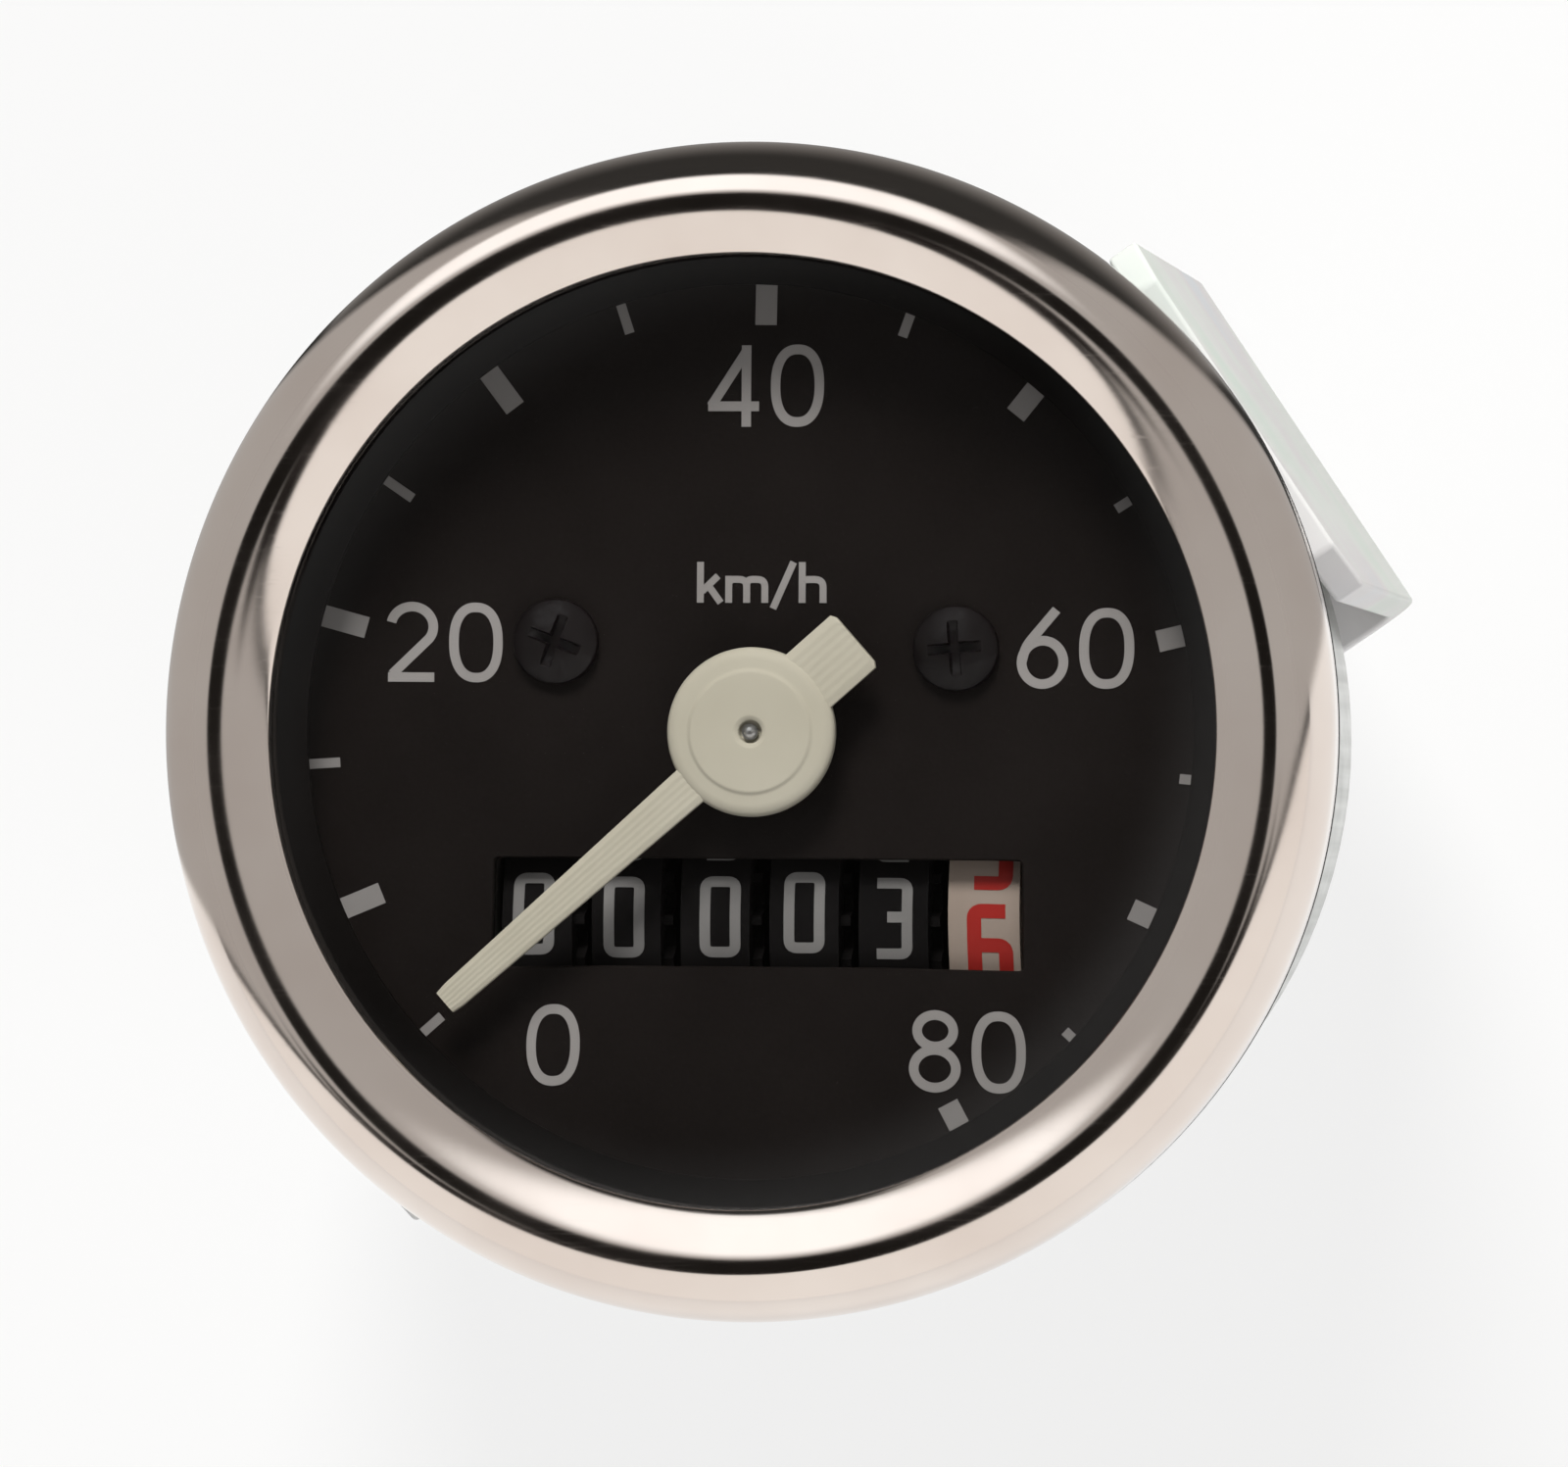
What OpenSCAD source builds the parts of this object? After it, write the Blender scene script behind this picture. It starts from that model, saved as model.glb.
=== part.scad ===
// Panel speedometer with a six-drum odometer, of the eddy-current kind, for a small motorcycle.
// Millimetres. The dial faces +Z and its 40 mark lies towards +Y.
// The origin is the centre of the panel seat, on the underside of the panel gasket.

/* [Bezel and glass] */
// Overhang of the bezel past the case
bezel_overhang = 2.4; // [2.2:0.1:3]
// Distance from the bezel's outer edge to its crest line
crest_inset = 2.6; // [2.2:0.1:3]
// Height of the crest above the edge of the opening
crest_rise = 1.2; // [0.8:0.1:2]
// Distance from the bezel's outer edge to its opening
rim_w = 5.1; // [4.6:0.1:5.6]
// Height of the bezel's straight side
bezel_side = 1.8; // [1.2:0.1:2.4]
// Sheet thickness of the bezel
bezel_sheet = 0.5; // [0.4:0.05:0.6]
// Width of the lip crimped under the case flange
crimp_w = 1.4; // [1:0.1:1.6]
// Distance from the bezel's outer edge to the edge of the glass
lens_inset = 2.2; // [1.9:0.1:2.8]
// Thickness of the glass
lens_t = 1.7; // [1.2:0.1:2.2]
// Thickness of the rubber seal under the glass
seal_t = 0.7; // [0.4:0.1:1]
// Radial width of that seal
seal_w = 2.4; // [1.8:0.1:2.8]

/* [Case] */
// Wall of the case
case_wall = 0.8; // [0.6:0.1:1]
// Rounding of the case's rear edge
case_corner_r = 1.2; // [0.8:0.1:1.4]
// Thickness of the case flange
flange_t = 0.6; // [0.5:0.1:0.9]
// Thickness of the panel gasket
gasket_t = 1.2; // [0.8:0.1:2]
// Inset of the panel gasket from the bezel's edge
gasket_inset = 0.2; // [0.1:0.1:0.6]

/* [Dial] */
// Depth of the dial face below the case rim
dial_depth = 3.1; // [2.8:0.1:5]
// Thickness of the dial
dial_t = 0.6; // [0.4:0.1:1]
// Width of the black ring's lip inside the bezel's opening
spacer_lip = 1.2; // [0.8:0.1:1.6]
// Bevel on that ring's upper inner edge
spacer_bevel = 0.8; // [0.3:0.1:1]
// Length of the odometer window past the drums, at each end
window_margin = 0.25; // [0.1:0.05:0.35]
// Height of the odometer window
window_w = 4.8; // [4:0.1:5.4]
// Lift of the window's middle above the drums' axis
window_lift = 0.35; // [0:0.05:0.5]
// Distance of each dial screw from the vertical midline
dial_screw_x = 8.95; // [8:0.05:10]
// Height of the dial screws above the pointer axis
dial_screw_y = 3.9; // [2.6:0.1:4.5]
// Radius of a dial screw's head
dial_screw_head_r = 1.9; // [1.6:0.1:2.2]
// Height of a dial screw's head
dial_screw_head_h = 1.1; // [0.8:0.1:1.2]
// Radius of a dial screw's thread
dial_screw_r = 1; // [0.8:0.1:1.1]

/* [Pointer] */
// Direction of the pointer at rest, in degrees from +X
rest_angle = 221.5; // [215:0.5:230]
// Gap between the pointer's tip and the black ring
pointer_gap = 1.2; // [0.9:0.1:2]
// Distance from the axis to the end of the tail
tail_reach = 6.05; // [5:0.05:7]
// Width of the tail
tail_w = 2.85; // [2:0.05:3.2]
// Width of the arm at the hub
arm_root_w = 2; // [1.6:0.1:2.6]
// Width of the arm at the tip
arm_tip_w = 1.15; // [0.8:0.05:1.4]
// Thickness of the arm
arm_t = 0.5; // [0.4:0.1:0.8]
// Radius of the hub
hub_r = 3.75; // [3:0.05:4.2]
// Height of the hub's face above the dial
hub_height = 2.5; // [2.3:0.1:2.8]
// Thickness of the hub's disc
hub_t = 1; // [0.8:0.1:1.1]
// Radius of the shaft's end in the hub
pointer_seat_r = 0.35; // [0.3:0.05:0.5]

/* [Movement] */
// Thickness of the plate under the dial
plate_t = 1.5; // [1.2:0.1:2]
// Thickness of the bridge plate
bridge_t = 1; // [0.8:0.1:1.4]
// Thickness of the base plate
base_t = 1.2; // [1:0.1:1.6]
// Radius of the pillars
pillar_r = 1.4; // [1.3:0.05:1.5]
// Gap between the pillars and the odometer
pillar_gap = 0.55; // [0.45:0.05:0.8]
// Distance from the pillars' axes to the edge of the plates
pillar_edge = 2.9; // [2.4:0.1:3.2]
// Radius of the long screws through the pillars
long_screw_r = 0.95; // [0.8:0.05:1]

/* [Speed drive] */
// Radius of the pointer shaft
arbor_r = 0.75; // [0.6:0.05:0.8]
// Radius of the pointer shaft's lower pivot
pivot_r = 0.4; // [0.3:0.05:0.5]
// Radius of the ring magnet
magnet_r = 8.2; // [7:0.1:8.6]
// Height of the ring magnet
magnet_h = 4.4; // [3.4:0.1:5.4]
// Wall of the drag cup
cup_wall = 0.35; // [0.3:0.05:0.5]
// Air gap on each side of the drag cup
air_gap = 0.45; // [0.35:0.05:0.6]
// Wall of the steel cup that carries the magnet
carrier_wall = 0.8; // [0.6:0.1:1.1]
// Outer radius of the hairspring
spring_r = 5.5; // [4.5:0.1:5.8]
// Turns of the hairspring
spring_turns = 5; // [3:1:6]
// Height of the hairspring strip
spring_h = 0.5; // [0.4:0.1:0.8]
// Radius of the drive spindle's journal
spindle_r = 2.2; // [2:0.05:2.4]
// Side of the square socket that takes the inner cable
drive_square = 2.6; // [2.2:0.1:2.8]
// Depth of that socket
socket_depth = 7; // [5:0.5:8]

/* [Odometer] */
// Radius of the number drums
drum_r = 7; // [6.6:0.1:7.2]
// Distance between neighbouring drums
drum_pitch = 4; // [3.9:0.05:4.05]
// Width of a drum's rim
drum_rim_w = 3.1; // [2.9:0.05:3.2]
// Gap between the drums and the pointer shaft
drum_pass = 0.6; // [0.45:0.05:1]
// Radius of the drum shaft
drum_shaft_r = 1; // [0.8:0.05:1.1]
// Radius of the carry pinions' shaft
pinion_shaft_r = 0.5; // [0.4:0.05:0.5]
// Tooth pitch of the spindle worm and of its wheel
spindle_worm_pitch = 2; // [1.9:0.05:2.1]
// Pitch radius of the spindle worm
spindle_worm_r = 4.2; // [4:0.1:4.4]
// Pitch radius of the worm on the cross shaft
cross_worm_r = 1.6; // [1.5:0.05:1.7]
// Pitch radius of the worm on the upright shaft
upright_worm_r = 1.6; // [1.5:0.05:1.7]
// Tooth pitch of the upright worm and of the tenths drum's wheel
drum_worm_pitch = 2; // [1.9:0.05:2.1]
// Radius of the cross shaft
cross_shaft_r = 0.9; // [0.7:0.05:1]
// Radius of the upright shaft
upright_shaft_r = 0.8; // [0.6:0.05:0.9]
// Width of the worm wheels
wheel_w = 1.6; // [1.4:0.1:1.8]

/* [Rear fixing] */
// Direction of the clamping strap, in degrees from +X
strap_angle = 34; // [30:1:38]
// Width of the strap
strap_w = 18.5; // [16:0.5:20]
// Sheet thickness of the strap
strap_t = 1.5; // [1.2:0.1:1.8]
// Gap between the strap's legs and the case
strap_gap = 0.7; // [0.4:0.1:1.2]
// Distance from the panel seat to the tips of the legs
panel_grip = 3; // [2:0.5:6]
// Distance of each stud inwards from the pillars' circle
stud_inset = 4.5; // [4:0.1:5.5]
// Radius of the studs
stud_r = 2; // [1.8:0.1:2.2]
// Length of a stud below its nut
stud_end = 1.6; // [0.5:0.1:3]
// Width across the flats of a nut
nut_flats = 7; // [6.6:0.1:7.6]
// Height of a nut
nut_h = 3.2; // [2.4:0.1:4]
// Thickness of a spring washer
lock_t = 1; // [0.8:0.1:1.2]
// Outer radius of the cable nipple's thread
nipple_r = 6; // [5.8:0.1:6.4]
// Length of the nipple behind the case
nipple_l = 13.8; // [12:0.1:16]
// Bore of the nipple's mouth, which takes the cable's ferrule
nipple_mouth_r = 4.7; // [4.3:0.1:4.9]

/* [Fits] */
// Radial clearance of a turning shaft
running_gap = 0.05; // [0.02:0.01:0.09]
// Radial clearance of a screw or stud in its hole
hole_gap = 0.1; // [0.05:0.05:0.15]
// Clearance between parts that move past each other
pass_gap = 0.4; // [0.35:0.05:0.45]

/* [Hidden] */
$fa = 4;
$fs = 0.2;
eps = 0.01;

// Overshoot of a cut past the face that it opens
over = 1;

// Heights of the front stack, upwards from the panel seat
flange_z = gasket_t + bezel_sheet;
rim_z = flange_z + flange_t;
seal_top = rim_z + seal_t;
lens_top = seal_top + lens_t;
opening_z = lens_top + bezel_sheet;
crest_z = opening_z + crest_rise;
side_top = gasket_t + bezel_side;

// Heights of the movement, downwards from the dial
skin_gap = 0.3;
dial_z = rim_z - dial_depth;
dial_under = dial_z - dial_t;
plate_under = dial_under - plate_t;
drum_z = dial_under - skin_gap - drum_r;
drum_y = -drum_r - arbor_r - drum_pass;
bridge_top = drum_z - drum_r - 0.5;
bridge_under = bridge_top - bridge_t;
spring_top = bridge_under - pass_gap;
spring_under = spring_top - spring_h;
tab_h = 0.6;
tab_top = spring_under - skin_gap;
cup_top = tab_top - tab_h;
magnet_top = cup_top - cup_wall - air_gap;
carrier_top = magnet_top - magnet_h;
carrier_under = carrier_top - carrier_wall;
cup_bore_r = magnet_r + air_gap;
cup_r = cup_bore_r + cup_wall;
keeper_bore_r = cup_r + air_gap;
keeper_r = keeper_bore_r + carrier_wall;
hub_top = dial_z + hub_height;
hub_under = hub_top - hub_t;
collar_under = hub_under - 0.6;
collet_r = 1.3;
bush_wall = 0.9;
bush_head_r = arbor_r + 1.2;

// Stop tab on the drag cup and the pin that it rests against
stop_r = spring_r + 1.4;
tab_w = 0.6;
stop_pin_r = 0.4;

// Three worm stages of 10 to 1: one thousand spindle turns to one turn of the tenths drum
wheel_teeth = 10;
addendum = 0.45;
dedendum = 0.6;
tooth_share = 0.36;
spindle_wheel_r = wheel_teeth * spindle_worm_pitch / (2 * PI);
drum_wheel_r = wheel_teeth * drum_worm_pitch / (2 * PI);
drum_count = 6;
stack_end = (drum_count - 1) / 2 * drum_pitch + drum_rim_w / 2;
worm_gap = 0.35;
upright_x = stack_end + worm_gap + upright_worm_r + addendum;
upright_y = drum_y + upright_worm_r + drum_wheel_r;
cross_y = -spindle_worm_r - spindle_wheel_r;
cross_wheel_r = upright_y - cross_y - cross_worm_r;
cross_worm_pitch = cross_wheel_r * 2 * PI / wheel_teeth;
cross_z = carrier_under - pass_gap - spindle_wheel_r - addendum;
cross_worm_l = 3 * cross_worm_pitch;
upright_worm_l = 3 * drum_worm_pitch;
post_w = 1.2;
post_rim = 1;
near_post_x = -wheel_w / 2 - pass_gap - post_w;
far_post_x = upright_x + cross_worm_l / 2 + pass_gap;

// Carry pinions between the drums: 20 teeth on a drum, 8 on a pinion
carry_teeth = 20;
pinion_teeth = 8;
carry_add = 0.4;
carry_ded = 0.5;
pinion_sleeve_r = pinion_shaft_r + 0.3;
pinion_offset = drum_r + skin_gap + pinion_sleeve_r;
carry_r = pinion_offset * carry_teeth / (carry_teeth + pinion_teeth);
pinion_r = pinion_offset - carry_r;
pinion_y = drum_y - pinion_offset;
drum_gap = drum_pitch - drum_rim_w;
pinion_w = drum_gap * 2 / 3;
carry_w = drum_gap / 2;
cheek_t = 0.8;
cheek_x = stack_end + 0.45;
cheek_out = cheek_x + cheek_t;
cheek_front = drum_y + 2.4;
cheek_back = pinion_y - pinion_shaft_r - 0.6;
cheek_low = drum_z - pinion_shaft_r - 3;
tenon_l = 1.6;
wheel_sleeve_r = drum_shaft_r + 0.6;
tenon_y = [cheek_back + tenon_l, cheek_front - 0.9 * tenon_l];
window_l = 2 * (stack_end + window_margin);

// Radii from the odometer outwards: pillars, plates, case, bezel, glass and black ring
pillar_ring_r = pillar_gap + pillar_r - cheek_back;
plate_r = pillar_ring_r + pillar_edge;
case_bore_r = plate_r + pass_gap;
case_r = case_bore_r + case_wall;
ring_r = case_bore_r - pass_gap / 2;
bezel_r = case_r + bezel_overhang;
flange_r = bezel_r - bezel_sheet - 0.3;
crest_r = bezel_r - crest_inset;
opening_r = bezel_r - rim_w;
lens_r = bezel_r - lens_inset;
spacer_bore_r = opening_r - spacer_lip;
pointer_reach = spacer_bore_r - pointer_gap;

// Levels of the base, case and rear fixing
nipple_flange_t = 0.8;
nipple_neck_r = nipple_r + 0.4;
nipple_flange_r = nipple_neck_r + 1.2;
thrust_t = 0.4;
nipple_top = cross_z - spindle_wheel_r - addendum - pass_gap;
base_top = nipple_top - nipple_flange_t;
base_under = base_top - base_t;
step_z = base_top - 0.7 * base_t;
case_under = base_under - case_wall;
strap_under = case_under - strap_t;
nut_top = strap_under - lock_t;
nut_under = nut_top - nut_h;
nipple_end = case_under - nipple_l;
bush_r = spindle_r + 1.8;
bush_under = case_under - nipple_l * 0.55;
spindle_end = bush_under - 2.6;
thrust_top = nipple_top + thrust_t;
spindle_boss_r = spindle_r - 0.4;
strap_bend_r = strap_t + 1.5;
leg_in = case_r + strap_gap;
leg_out = leg_in + strap_t;
stud_reach = pillar_ring_r - stud_inset;

// The third pillar passes between two carry pinions
pillar_angles = [25, 155, -acos(drum_pitch / 2 / pillar_ring_r)];
drum_names = [for (i = [1:drum_count]) str("drum_", i)];
pinion_names = [for (i = [1:drum_count - 1]) str("carry_pinion_", i)];

// A round post between two heights
module post(r, low, high) {
    translate([0, 0, low])
        cylinder(r = r, h = high - low);
}

// A round tube between two heights
module tube(r, bore, low, high) {
    difference() {
        post(r, low, high);
        post(bore, low - over, high + over);
    }
}

// A round bar along X between two places
module bar_x(r, from, to) {
    translate([from, 0, 0])
        rotate([0, 90, 0])
            cylinder(r = r, h = to - from);
}

// Children at each pillar
module at_pillars() {
    for (a = pillar_angles)
        rotate([0, 0, a])
            translate([pillar_ring_r, 0, 0])
                children();
}

// Children at each rear stud, in the strap's direction
module at_studs() {
    for (side = [0, 180])
        rotate([0, 0, strap_angle + side])
            translate([stud_reach, 0, 0])
                children();
}

// Children at each dial screw
module at_dial_screws() {
    for (side = [-1, 1])
        translate([side * dial_screw_x, dial_screw_y, 0])
            children();
}

// Outline of a gear with straight-sided teeth: root, tip, tip, root for each tooth
function gear_outline(teeth, pitch_r, add, ded) = [
    for (i = [0:teeth - 1], corner = [[-1, 0], [-1, 1], [1, 1], [1, 0]])
        let (
            half = 180 / teeth * tooth_share * (corner[1] == 1 ? 0.6 : 1.45),
            r = corner[1] == 1 ? pitch_r + add : pitch_r - ded,
            a = 360 / teeth * i + corner[0] * half
        )
        [r * cos(a), r * sin(a)]
];

// A gear of width w, centred on the XY plane, with a tooth towards +X
module gear(teeth, pitch_r, add, ded, w) {
    translate([0, 0, -w / 2])
        linear_extrude(height = w)
            polygon(gear_outline(teeth, pitch_r, add, ded));
}

// Radius of a worm's cross-section at a phase from 0 to 1 around its axis
function thread_radius(phase, pitch_r) =
    let (
        off = abs(phase - 0.5),
        crest = tooth_share * 0.3,
        foot = tooth_share * 0.72
    )
    off < crest ? pitch_r + addendum
    : off > foot ? pitch_r - dedendum
    : pitch_r + addendum - (addendum + dedendum) * (off - crest) / (foot - crest);

// A worm on Z, centred there, with a thread crest towards +X; hand is 1 for right and -1 for left
module worm(pitch, pitch_r, length, hand) {
    points = 24;
    turn = hand * 360 * length / pitch;
    slices = ceil(length / pitch * 16);
    translate([0, 0, -length / 2])
        rotate([0, 0, -turn / 2])
            linear_extrude(height = length, twist = -turn, slices = slices, segments = points)
                polygon([
                    for (i = [0:points - 1])
                        let (
                            a = 360 * i / points,
                            phase = (i / points + 0.5) % 1,
                            r = thread_radius(phase, pitch_r)
                        )
                        [r * cos(a), r * sin(a)]
                ]);
}

// Rubber ring between the bezel's crimp and the panel
module panel_gasket() {
    color("#1c1c1c")
        tube(bezel_r - gasket_inset, case_r + hole_gap, 0, gasket_t);
}

// Drawn cup with an outward flange at its mouth and holes for the nipple and the studs
module case() {
    color("#c9ccc6")
        difference() {
            union() {
                post(case_r, case_under + case_corner_r, flange_z + eps);
                post(case_r - case_corner_r, case_under, case_under + case_corner_r + eps);
                rotate_extrude()
                    translate([case_r - case_corner_r, case_under + case_corner_r])
                        circle(r = case_corner_r);
                post(flange_r, flange_z, rim_z);
            }
            post(case_bore_r, base_under, rim_z + over);
            post(nipple_neck_r + hole_gap, case_under - over, base_under + over);
            at_studs()
                post(stud_r + hole_gap, case_under - over, base_under + over);
        }
}

// Points of a quarter ellipse from the side up to the crest, or back down
function flank(wide, high, steps, reverse) = [
    for (i = [0:steps])
        let (a = 90 * (reverse ? steps - i : i) / steps)
        [crest_r + wide * cos(a), side_top + high * sin(a)]
];

// Spun rim: straight side, rounded flank, crest, cone to the opening and a crimped lip below
module bezel() {
    wide = bezel_r - crest_r;
    high = crest_z - side_top;
    lip_r = bezel_r - crimp_w;
    color("#d8d4ce")
        rotate_extrude()
            polygon(concat(
                [[lip_r, gasket_t], [bezel_r, gasket_t]],
                flank(wide, high, 14, false),
                [[opening_r, opening_z], [opening_r, lens_top]],
                flank(wide - bezel_sheet, high - bezel_sheet, 14, true),
                [[bezel_r - bezel_sheet, flange_z], [lip_r, flange_z]]
            ));
}

// Flat glass
module lens() {
    color([0.85, 0.9, 0.9, 0.35])
        post(lens_r, seal_top, lens_top);
}

// Rubber ring under the glass
module lens_seal() {
    color("#222222")
        tube(lens_r, lens_r - seal_w, rim_z, seal_top);
}

// Black ring that stands on the dial and carries the glass
module spacer_ring() {
    color("#161514")
        rotate_extrude()
            polygon([
                [spacer_bore_r, dial_z],
                [ring_r, dial_z],
                [ring_r, rim_z],
                [spacer_bore_r + spacer_bevel, rim_z],
                [spacer_bore_r, rim_z - spacer_bevel]
            ]);
}

// Printed disc with the odometer window
module dial() {
    color("#1e1b19")
        difference() {
            post(ring_r, dial_under, dial_z);
            translate([-window_l / 2, drum_y + window_lift - window_w / 2, dial_under - over])
                cube([window_l, window_w, dial_t + 2 * over]);
            post(bush_head_r + hole_gap, dial_under - over, dial_z + over);
            at_dial_screws()
                post(dial_screw_r + hole_gap, dial_under - over, dial_z + over);
        }
}

// Two round-head screws with cross slots
module dial_screws() {
    slot_w = 0.5;
    slot_l = dial_screw_head_r * 1.3;
    dome = dial_screw_head_h * 0.55;
    ball_r = (dial_screw_head_r * dial_screw_head_r + dome * dome) / (2 * dome);
    color("#141414")
        at_dial_screws()
            difference() {
                union() {
                    post(dial_screw_r, plate_under, dial_z + eps);
                    intersection() {
                        post(dial_screw_head_r, dial_z, dial_z + dial_screw_head_h);
                        translate([0, 0, dial_z + dial_screw_head_h - ball_r])
                            sphere(r = ball_r);
                    }
                }
                for (turn = [0, 90])
                    rotate([0, 0, turn])
                        translate([-slot_l / 2, -slot_w / 2, dial_z + dial_screw_head_h * 0.45])
                            cube([slot_l, slot_w, dial_screw_head_h]);
            }
}

// Moulded pointer: stepped hub, tapered arm and short broad tail
module pointer() {
    arm_z = hub_under + (hub_t - arm_t) / 2;
    color("#c8c3af")
        rotate([0, 0, rest_angle])
            difference() {
                union() {
                    post(hub_r, hub_under, hub_top - 0.25);
                    post(hub_r - 0.45, hub_under, hub_top);
                    post(arbor_r + 0.7, collar_under, hub_under + eps);
                    translate([0, 0, arm_z])
                        linear_extrude(height = arm_t)
                            polygon([
                                [0, -arm_root_w / 2],
                                [pointer_reach, -arm_tip_w / 2],
                                [pointer_reach, arm_tip_w / 2],
                                [0, arm_root_w / 2]
                            ]);
                    translate([-tail_reach, -tail_w / 2, arm_z])
                        cube([tail_reach, tail_w, arm_t]);
                }
                post(pointer_seat_r, collar_under - over, hub_top + over);
            }
}

// Thin steel shaft that carries the pointer, the hairspring and the drag cup
module pointer_shaft() {
    foot = cup_top - cup_wall - 0.05;
    color("#b8b8b4") {
        post(arbor_r, foot, collar_under);
        post(pointer_seat_r, collar_under - eps, hub_top - 0.1);
        post(pivot_r, magnet_top - 1.2, foot + eps);
        tube(collet_r, arbor_r - eps, spring_under, spring_top);
    }
}

// Brass bush of the pointer shaft, pressed into the top plate
module pointer_bush() {
    color("#b89a52")
        difference() {
            union() {
                post(arbor_r + bush_wall, plate_under, dial_under + eps);
                post(bush_head_r, dial_under, dial_z);
            }
            post(arbor_r + running_gap, plate_under - over, dial_z + over);
        }
}

// Aluminium cup that the turning magnet drags round, with the tab that meets the stop pin
module drag_cup() {
    color("#cfd0d0")
        difference() {
            union() {
                post(cup_r, carrier_top + air_gap, cup_top);
                rotate([0, 0, rest_angle])
                    translate([stop_r - 0.5, -tab_w / 2, cup_top - eps])
                        cube([1, tab_w, tab_h + eps]);
            }
            post(cup_bore_r, carrier_top, cup_top - cup_wall);
            post(arbor_r, carrier_top, cup_top + over);
        }
}

// Flat spiral strip from the collet outwards
module hairspring() {
    strip = 0.2;
    steps = spring_turns * 24;
    grow = (spring_r - strip - collet_r) / steps;
    turn = rest_angle + 90;
    inner = [for (i = [0:steps]) (collet_r + grow * i) * [cos(turn + 15 * i), sin(turn + 15 * i)]];
    outer = [
        for (i = [steps:-1:0])
            (collet_r + grow * i + strip) * [cos(turn + 15 * i), sin(turn + 15 * i)]
    ];
    color("#9aa0b4")
        translate([0, 0, spring_under])
            linear_extrude(height = spring_h)
                polygon(concat(inner, outer));
}

// Stud on the bridge plate that holds the outer end of the hairspring
module spring_stud() {
    stud = 0.5;
    color("#b89a52")
        rotate([0, 0, rest_angle + 90])
            translate([spring_r + running_gap + stud, 0, 0])
                post(stud, spring_under, bridge_under);
}

// Pin on the bridge plate that the drag cup's tab rests against
module stop_pin() {
    lead = asin((stop_pin_r + tab_w / 2 + running_gap) / stop_r);
    color("#b8b8b4")
        rotate([0, 0, rest_angle + lead])
            translate([stop_r, 0, 0])
                post(stop_pin_r, cup_top + 0.2, bridge_under);
}

// Plate that carries the dial, the pointer bush and the odometer cheeks
module top_plate() {
    chord = sqrt(drum_r * drum_r - (plate_under - drum_z) * (plate_under - drum_z));
    drum_clear = 2 * (chord + 2 * skin_gap);
    color("#a9aaa6")
        difference() {
            post(plate_r, plate_under, dial_under);
            translate([-stack_end - skin_gap, drum_y - drum_clear / 2, plate_under - over])
                cube([2 * (stack_end + skin_gap), drum_clear, plate_t + 2 * over]);
            post(arbor_r + bush_wall, plate_under - over, dial_under + over);
            at_dial_screws()
                post(dial_screw_r, plate_under - over, dial_under + over);
            at_pillars() {
                post(long_screw_r + hole_gap, plate_under - over, dial_under + over);
                translate([0, 0, dial_under - long_screw_r])
                    cylinder(
                        r1 = long_screw_r + running_gap,
                        r2 = 2 * long_screw_r + running_gap,
                        h = long_screw_r
                    );
            }
            translate([upright_x, upright_y, 0])
                post(upright_shaft_r + running_gap, plate_under - over, dial_under - skin_gap);
            for (side = [-1, 1], y = tenon_y)
                translate([side * (cheek_x + cheek_t / 2), y, dial_under - plate_t / 2])
                    cube([cheek_t, tenon_l, plate_t + 2 * over], center = true);
        }
}

// Three tubes between the top plate and the bridge plate
module upper_pillars() {
    color("#b89a52")
        at_pillars()
            tube(pillar_r, long_screw_r + hole_gap, bridge_top, plate_under);
}

// Plate between odometer and magnet
module bridge_plate() {
    color("#a9aaa6")
        difference() {
            post(plate_r, bridge_under, bridge_top);
            post(arbor_r + 0.8, bridge_under - over, bridge_top + over);
            at_pillars()
                post(long_screw_r + hole_gap, bridge_under - over, bridge_top + over);
            translate([upright_x, upright_y, 0])
                post(upright_shaft_r + 0.6, bridge_under - over, bridge_top + over);
        }
}

// Three tubes between the bridge plate and the base plate
module lower_pillars() {
    color("#b89a52")
        at_pillars()
            tube(pillar_r, long_screw_r + hole_gap, base_top, bridge_under);
}

// Three long countersunk screws that hold the plates together
module movement_screws() {
    color("#b8b8b4")
        at_pillars() {
            post(long_screw_r, base_under + 0.2, dial_under - long_screw_r + eps);
            translate([0, 0, dial_under - long_screw_r])
                cylinder(r1 = long_screw_r, r2 = 2 * long_screw_r, h = long_screw_r);
        }
}

// Plate on the floor of the case
module base_plate() {
    color("#a9aaa6")
        difference() {
            post(plate_r, base_under, base_top);
            post(nipple_neck_r + hole_gap, base_under - over, base_top + over);
            at_pillars()
                post(long_screw_r, base_under - over, base_top + over);
            at_studs()
                post(stud_r + hole_gap, base_under - over, base_top + over);
            translate([upright_x, upright_y, 0])
                post(upright_shaft_r + running_gap, step_z, base_top + over);
        }
}

// Spindle with the square cable socket, the worm and the boss for the magnet
module drive_spindle() {
    worm_low = thrust_top + running_gap;
    worm_high = carrier_under;
    worm_l = 2 * min(worm_high - cross_z, cross_z - worm_low);
    core_r = spindle_worm_r - dedendum - 0.3;
    color("#b8b8b4")
        difference() {
            union() {
                post(spindle_r, spindle_end, worm_low + eps);
                post(core_r, worm_low, worm_high);
                post(spindle_boss_r, worm_high - eps, magnet_top);
                translate([0, 0, cross_z])
                    rotate([0, 0, -90])
                        worm(spindle_worm_pitch, spindle_worm_r, worm_l - 0.2, 1);
            }
            post(pivot_r + running_gap, magnet_top - 1.4, magnet_top + over);
            translate([-drive_square / 2, -drive_square / 2, spindle_end - over])
                cube([drive_square, drive_square, socket_depth + over]);
        }
}

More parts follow.
